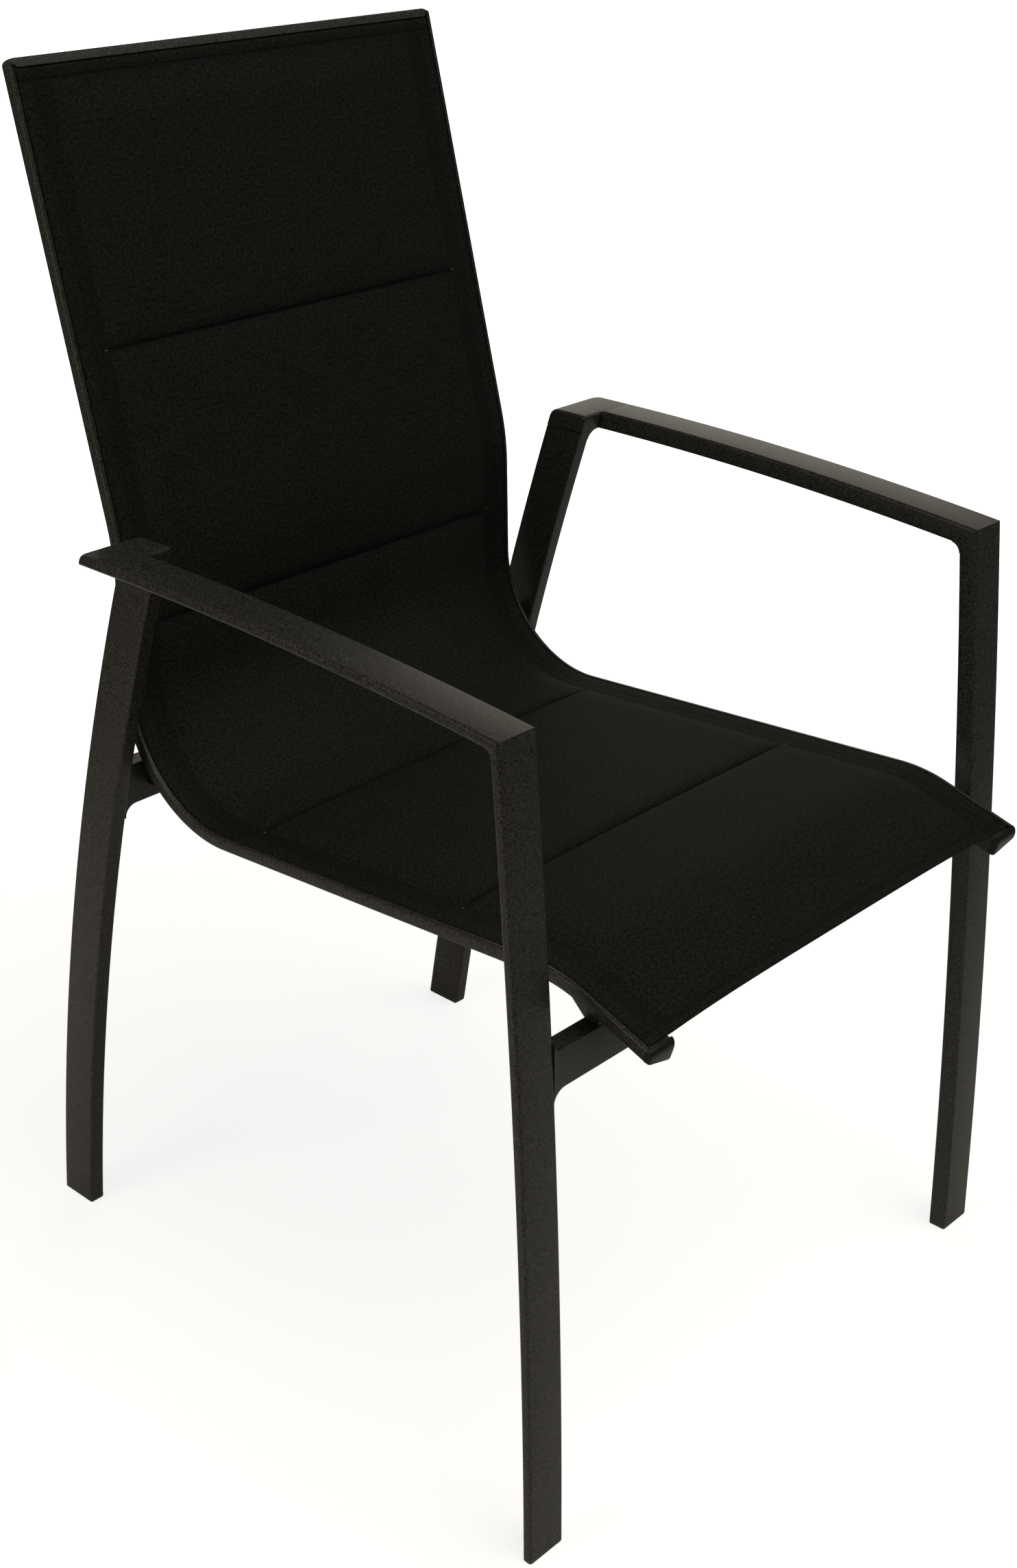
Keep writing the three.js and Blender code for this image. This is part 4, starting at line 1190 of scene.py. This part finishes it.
links.new(patches.outputs["Fac"], aged.inputs["B"])
# Painted shade: the cloth's colour is mixed towards near black along the seams and stitch lines, where
# shade falls in the creases.
seam_shade_node = nodes.new("ShaderNodeAttribute")
seam_shade_node.attribute_name = "painted_seam_shade"
sunk = nodes.new("ShaderNodeMix")
sunk.data_type = "RGBA"
sunk.inputs["B"].default_value = (0.0012, 0.0011, 0.0010, 1)
links.new(seam_shade_node.outputs["Fac"], sunk.inputs["Factor"])
links.new(aged.outputs["Result"], sunk.inputs["A"])
links.new(sunk.outputs["Result"], surface.inputs["Base Color"])
threads = nodes.new("ShaderNodeBump")
threads.inputs["Strength"].default_value = 0.6
threads.inputs["Distance"].default_value = 0.0004
links.new(mottle.outputs[0], threads.inputs["Height"])
links.new(threads.outputs["Normal"], surface.inputs["Normal"])

sling_mesh = bpy.data.meshes.new("padded_sling")
sling.to_mesh(sling_mesh)
sling.free()
sling_mesh.materials.append(cloth)
padded_sling = bpy.data.objects.new("padded_sling", sling_mesh)
scene.collection.objects.link(padded_sling)
finer = padded_sling.modifiers.new("finer", "SUBSURF")
finer.levels = 1
finer.render_levels = 1
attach(padded_sling, "root")
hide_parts("sling_upper_cloth", "sling_filling", "sling_lower_cloth")


# Sewing thread: charcoal polyester lockstitches through both cloths, along the cross seams, in a double
# line beside each rail and across the hems. Each seam ends in a bar tack, coloured lighter than the rest as
# a painted glint.
stitch_pitch = 0.0036
stitch_length = 0.0028
thread_thick = 0.00045
tack_length = 0.0055
tack_thick = 0.0013


def thread_material(name, dark, light):
    return grained_material(name, dark, light, scale=900, specular=0.3, bump=0.4)


def add_stitch(bm, run, x, across_cloth, is_tack=False):
    """A short rounded bar of thread that lies half sunk on the upper cloth."""
    along = rail_run(run)[1]
    out = facing_out(along)
    axes = (across, -along, out) if across_cloth else (along, across, out)
    matrix = Matrix(axes).transposed().to_4x4()
    matrix.translation = sling_point(run, x, True)
    length, thick = (tack_length, tack_thick) if is_tack else (stitch_length, thread_thick)
    shape = matrix @ Matrix.Diagonal((length / 2, thick / 2, thick / 2, 1))
    made = bmesh.ops.create_icosphere(bm, subdivisions=1, radius=1, matrix=shape)
    for vert in made["verts"]:
        for face in vert.link_faces:
            face.material_index = int(is_tack)


stitches = bmesh.new()
for inset in (outer_stitch, inner_stitch):
    for run in evenly(top_hem, sling_end - front_hem, stitch_pitch):
        reach = rail_run(run)[2] - inset
        for side in (-1, 1):
            add_stitch(stitches, run, side * reach, False)
for run in (top_hem, *seam_runs, sling_end - front_hem):
    reach = rail_run(run)[2] - inner_stitch
    for x in evenly(-reach, reach, stitch_pitch):
        add_stitch(stitches, run, x, True)
for run in seam_runs:
    reach = rail_run(run)[2] - inner_stitch
    for side in (-1, 1):
        add_stitch(stitches, run, side * reach, True, is_tack=True)
stitch_mesh = bpy.data.meshes.new("sling_stitches")
stitches.to_mesh(stitch_mesh)
stitches.free()
stitch_mesh.shade_smooth()
sewing_thread = thread_material("sewing_thread", (0.003, 0.0029, 0.0026, 1), (0.012, 0.0115, 0.010, 1))
# Painted glint: the bar tacks get a lighter thread colour that stands in for the light they catch.
tack_painted_glint = thread_material("tack_painted_glint", (0.03, 0.03, 0.027, 1), (0.10, 0.10, 0.092, 1))
stitch_mesh.materials.append(sewing_thread)
stitch_mesh.materials.append(tack_painted_glint)
sling_stitches = bpy.data.objects.new("sling_stitches", stitch_mesh)
scene.collection.objects.link(sling_stitches)
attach(sling_stitches, "root")
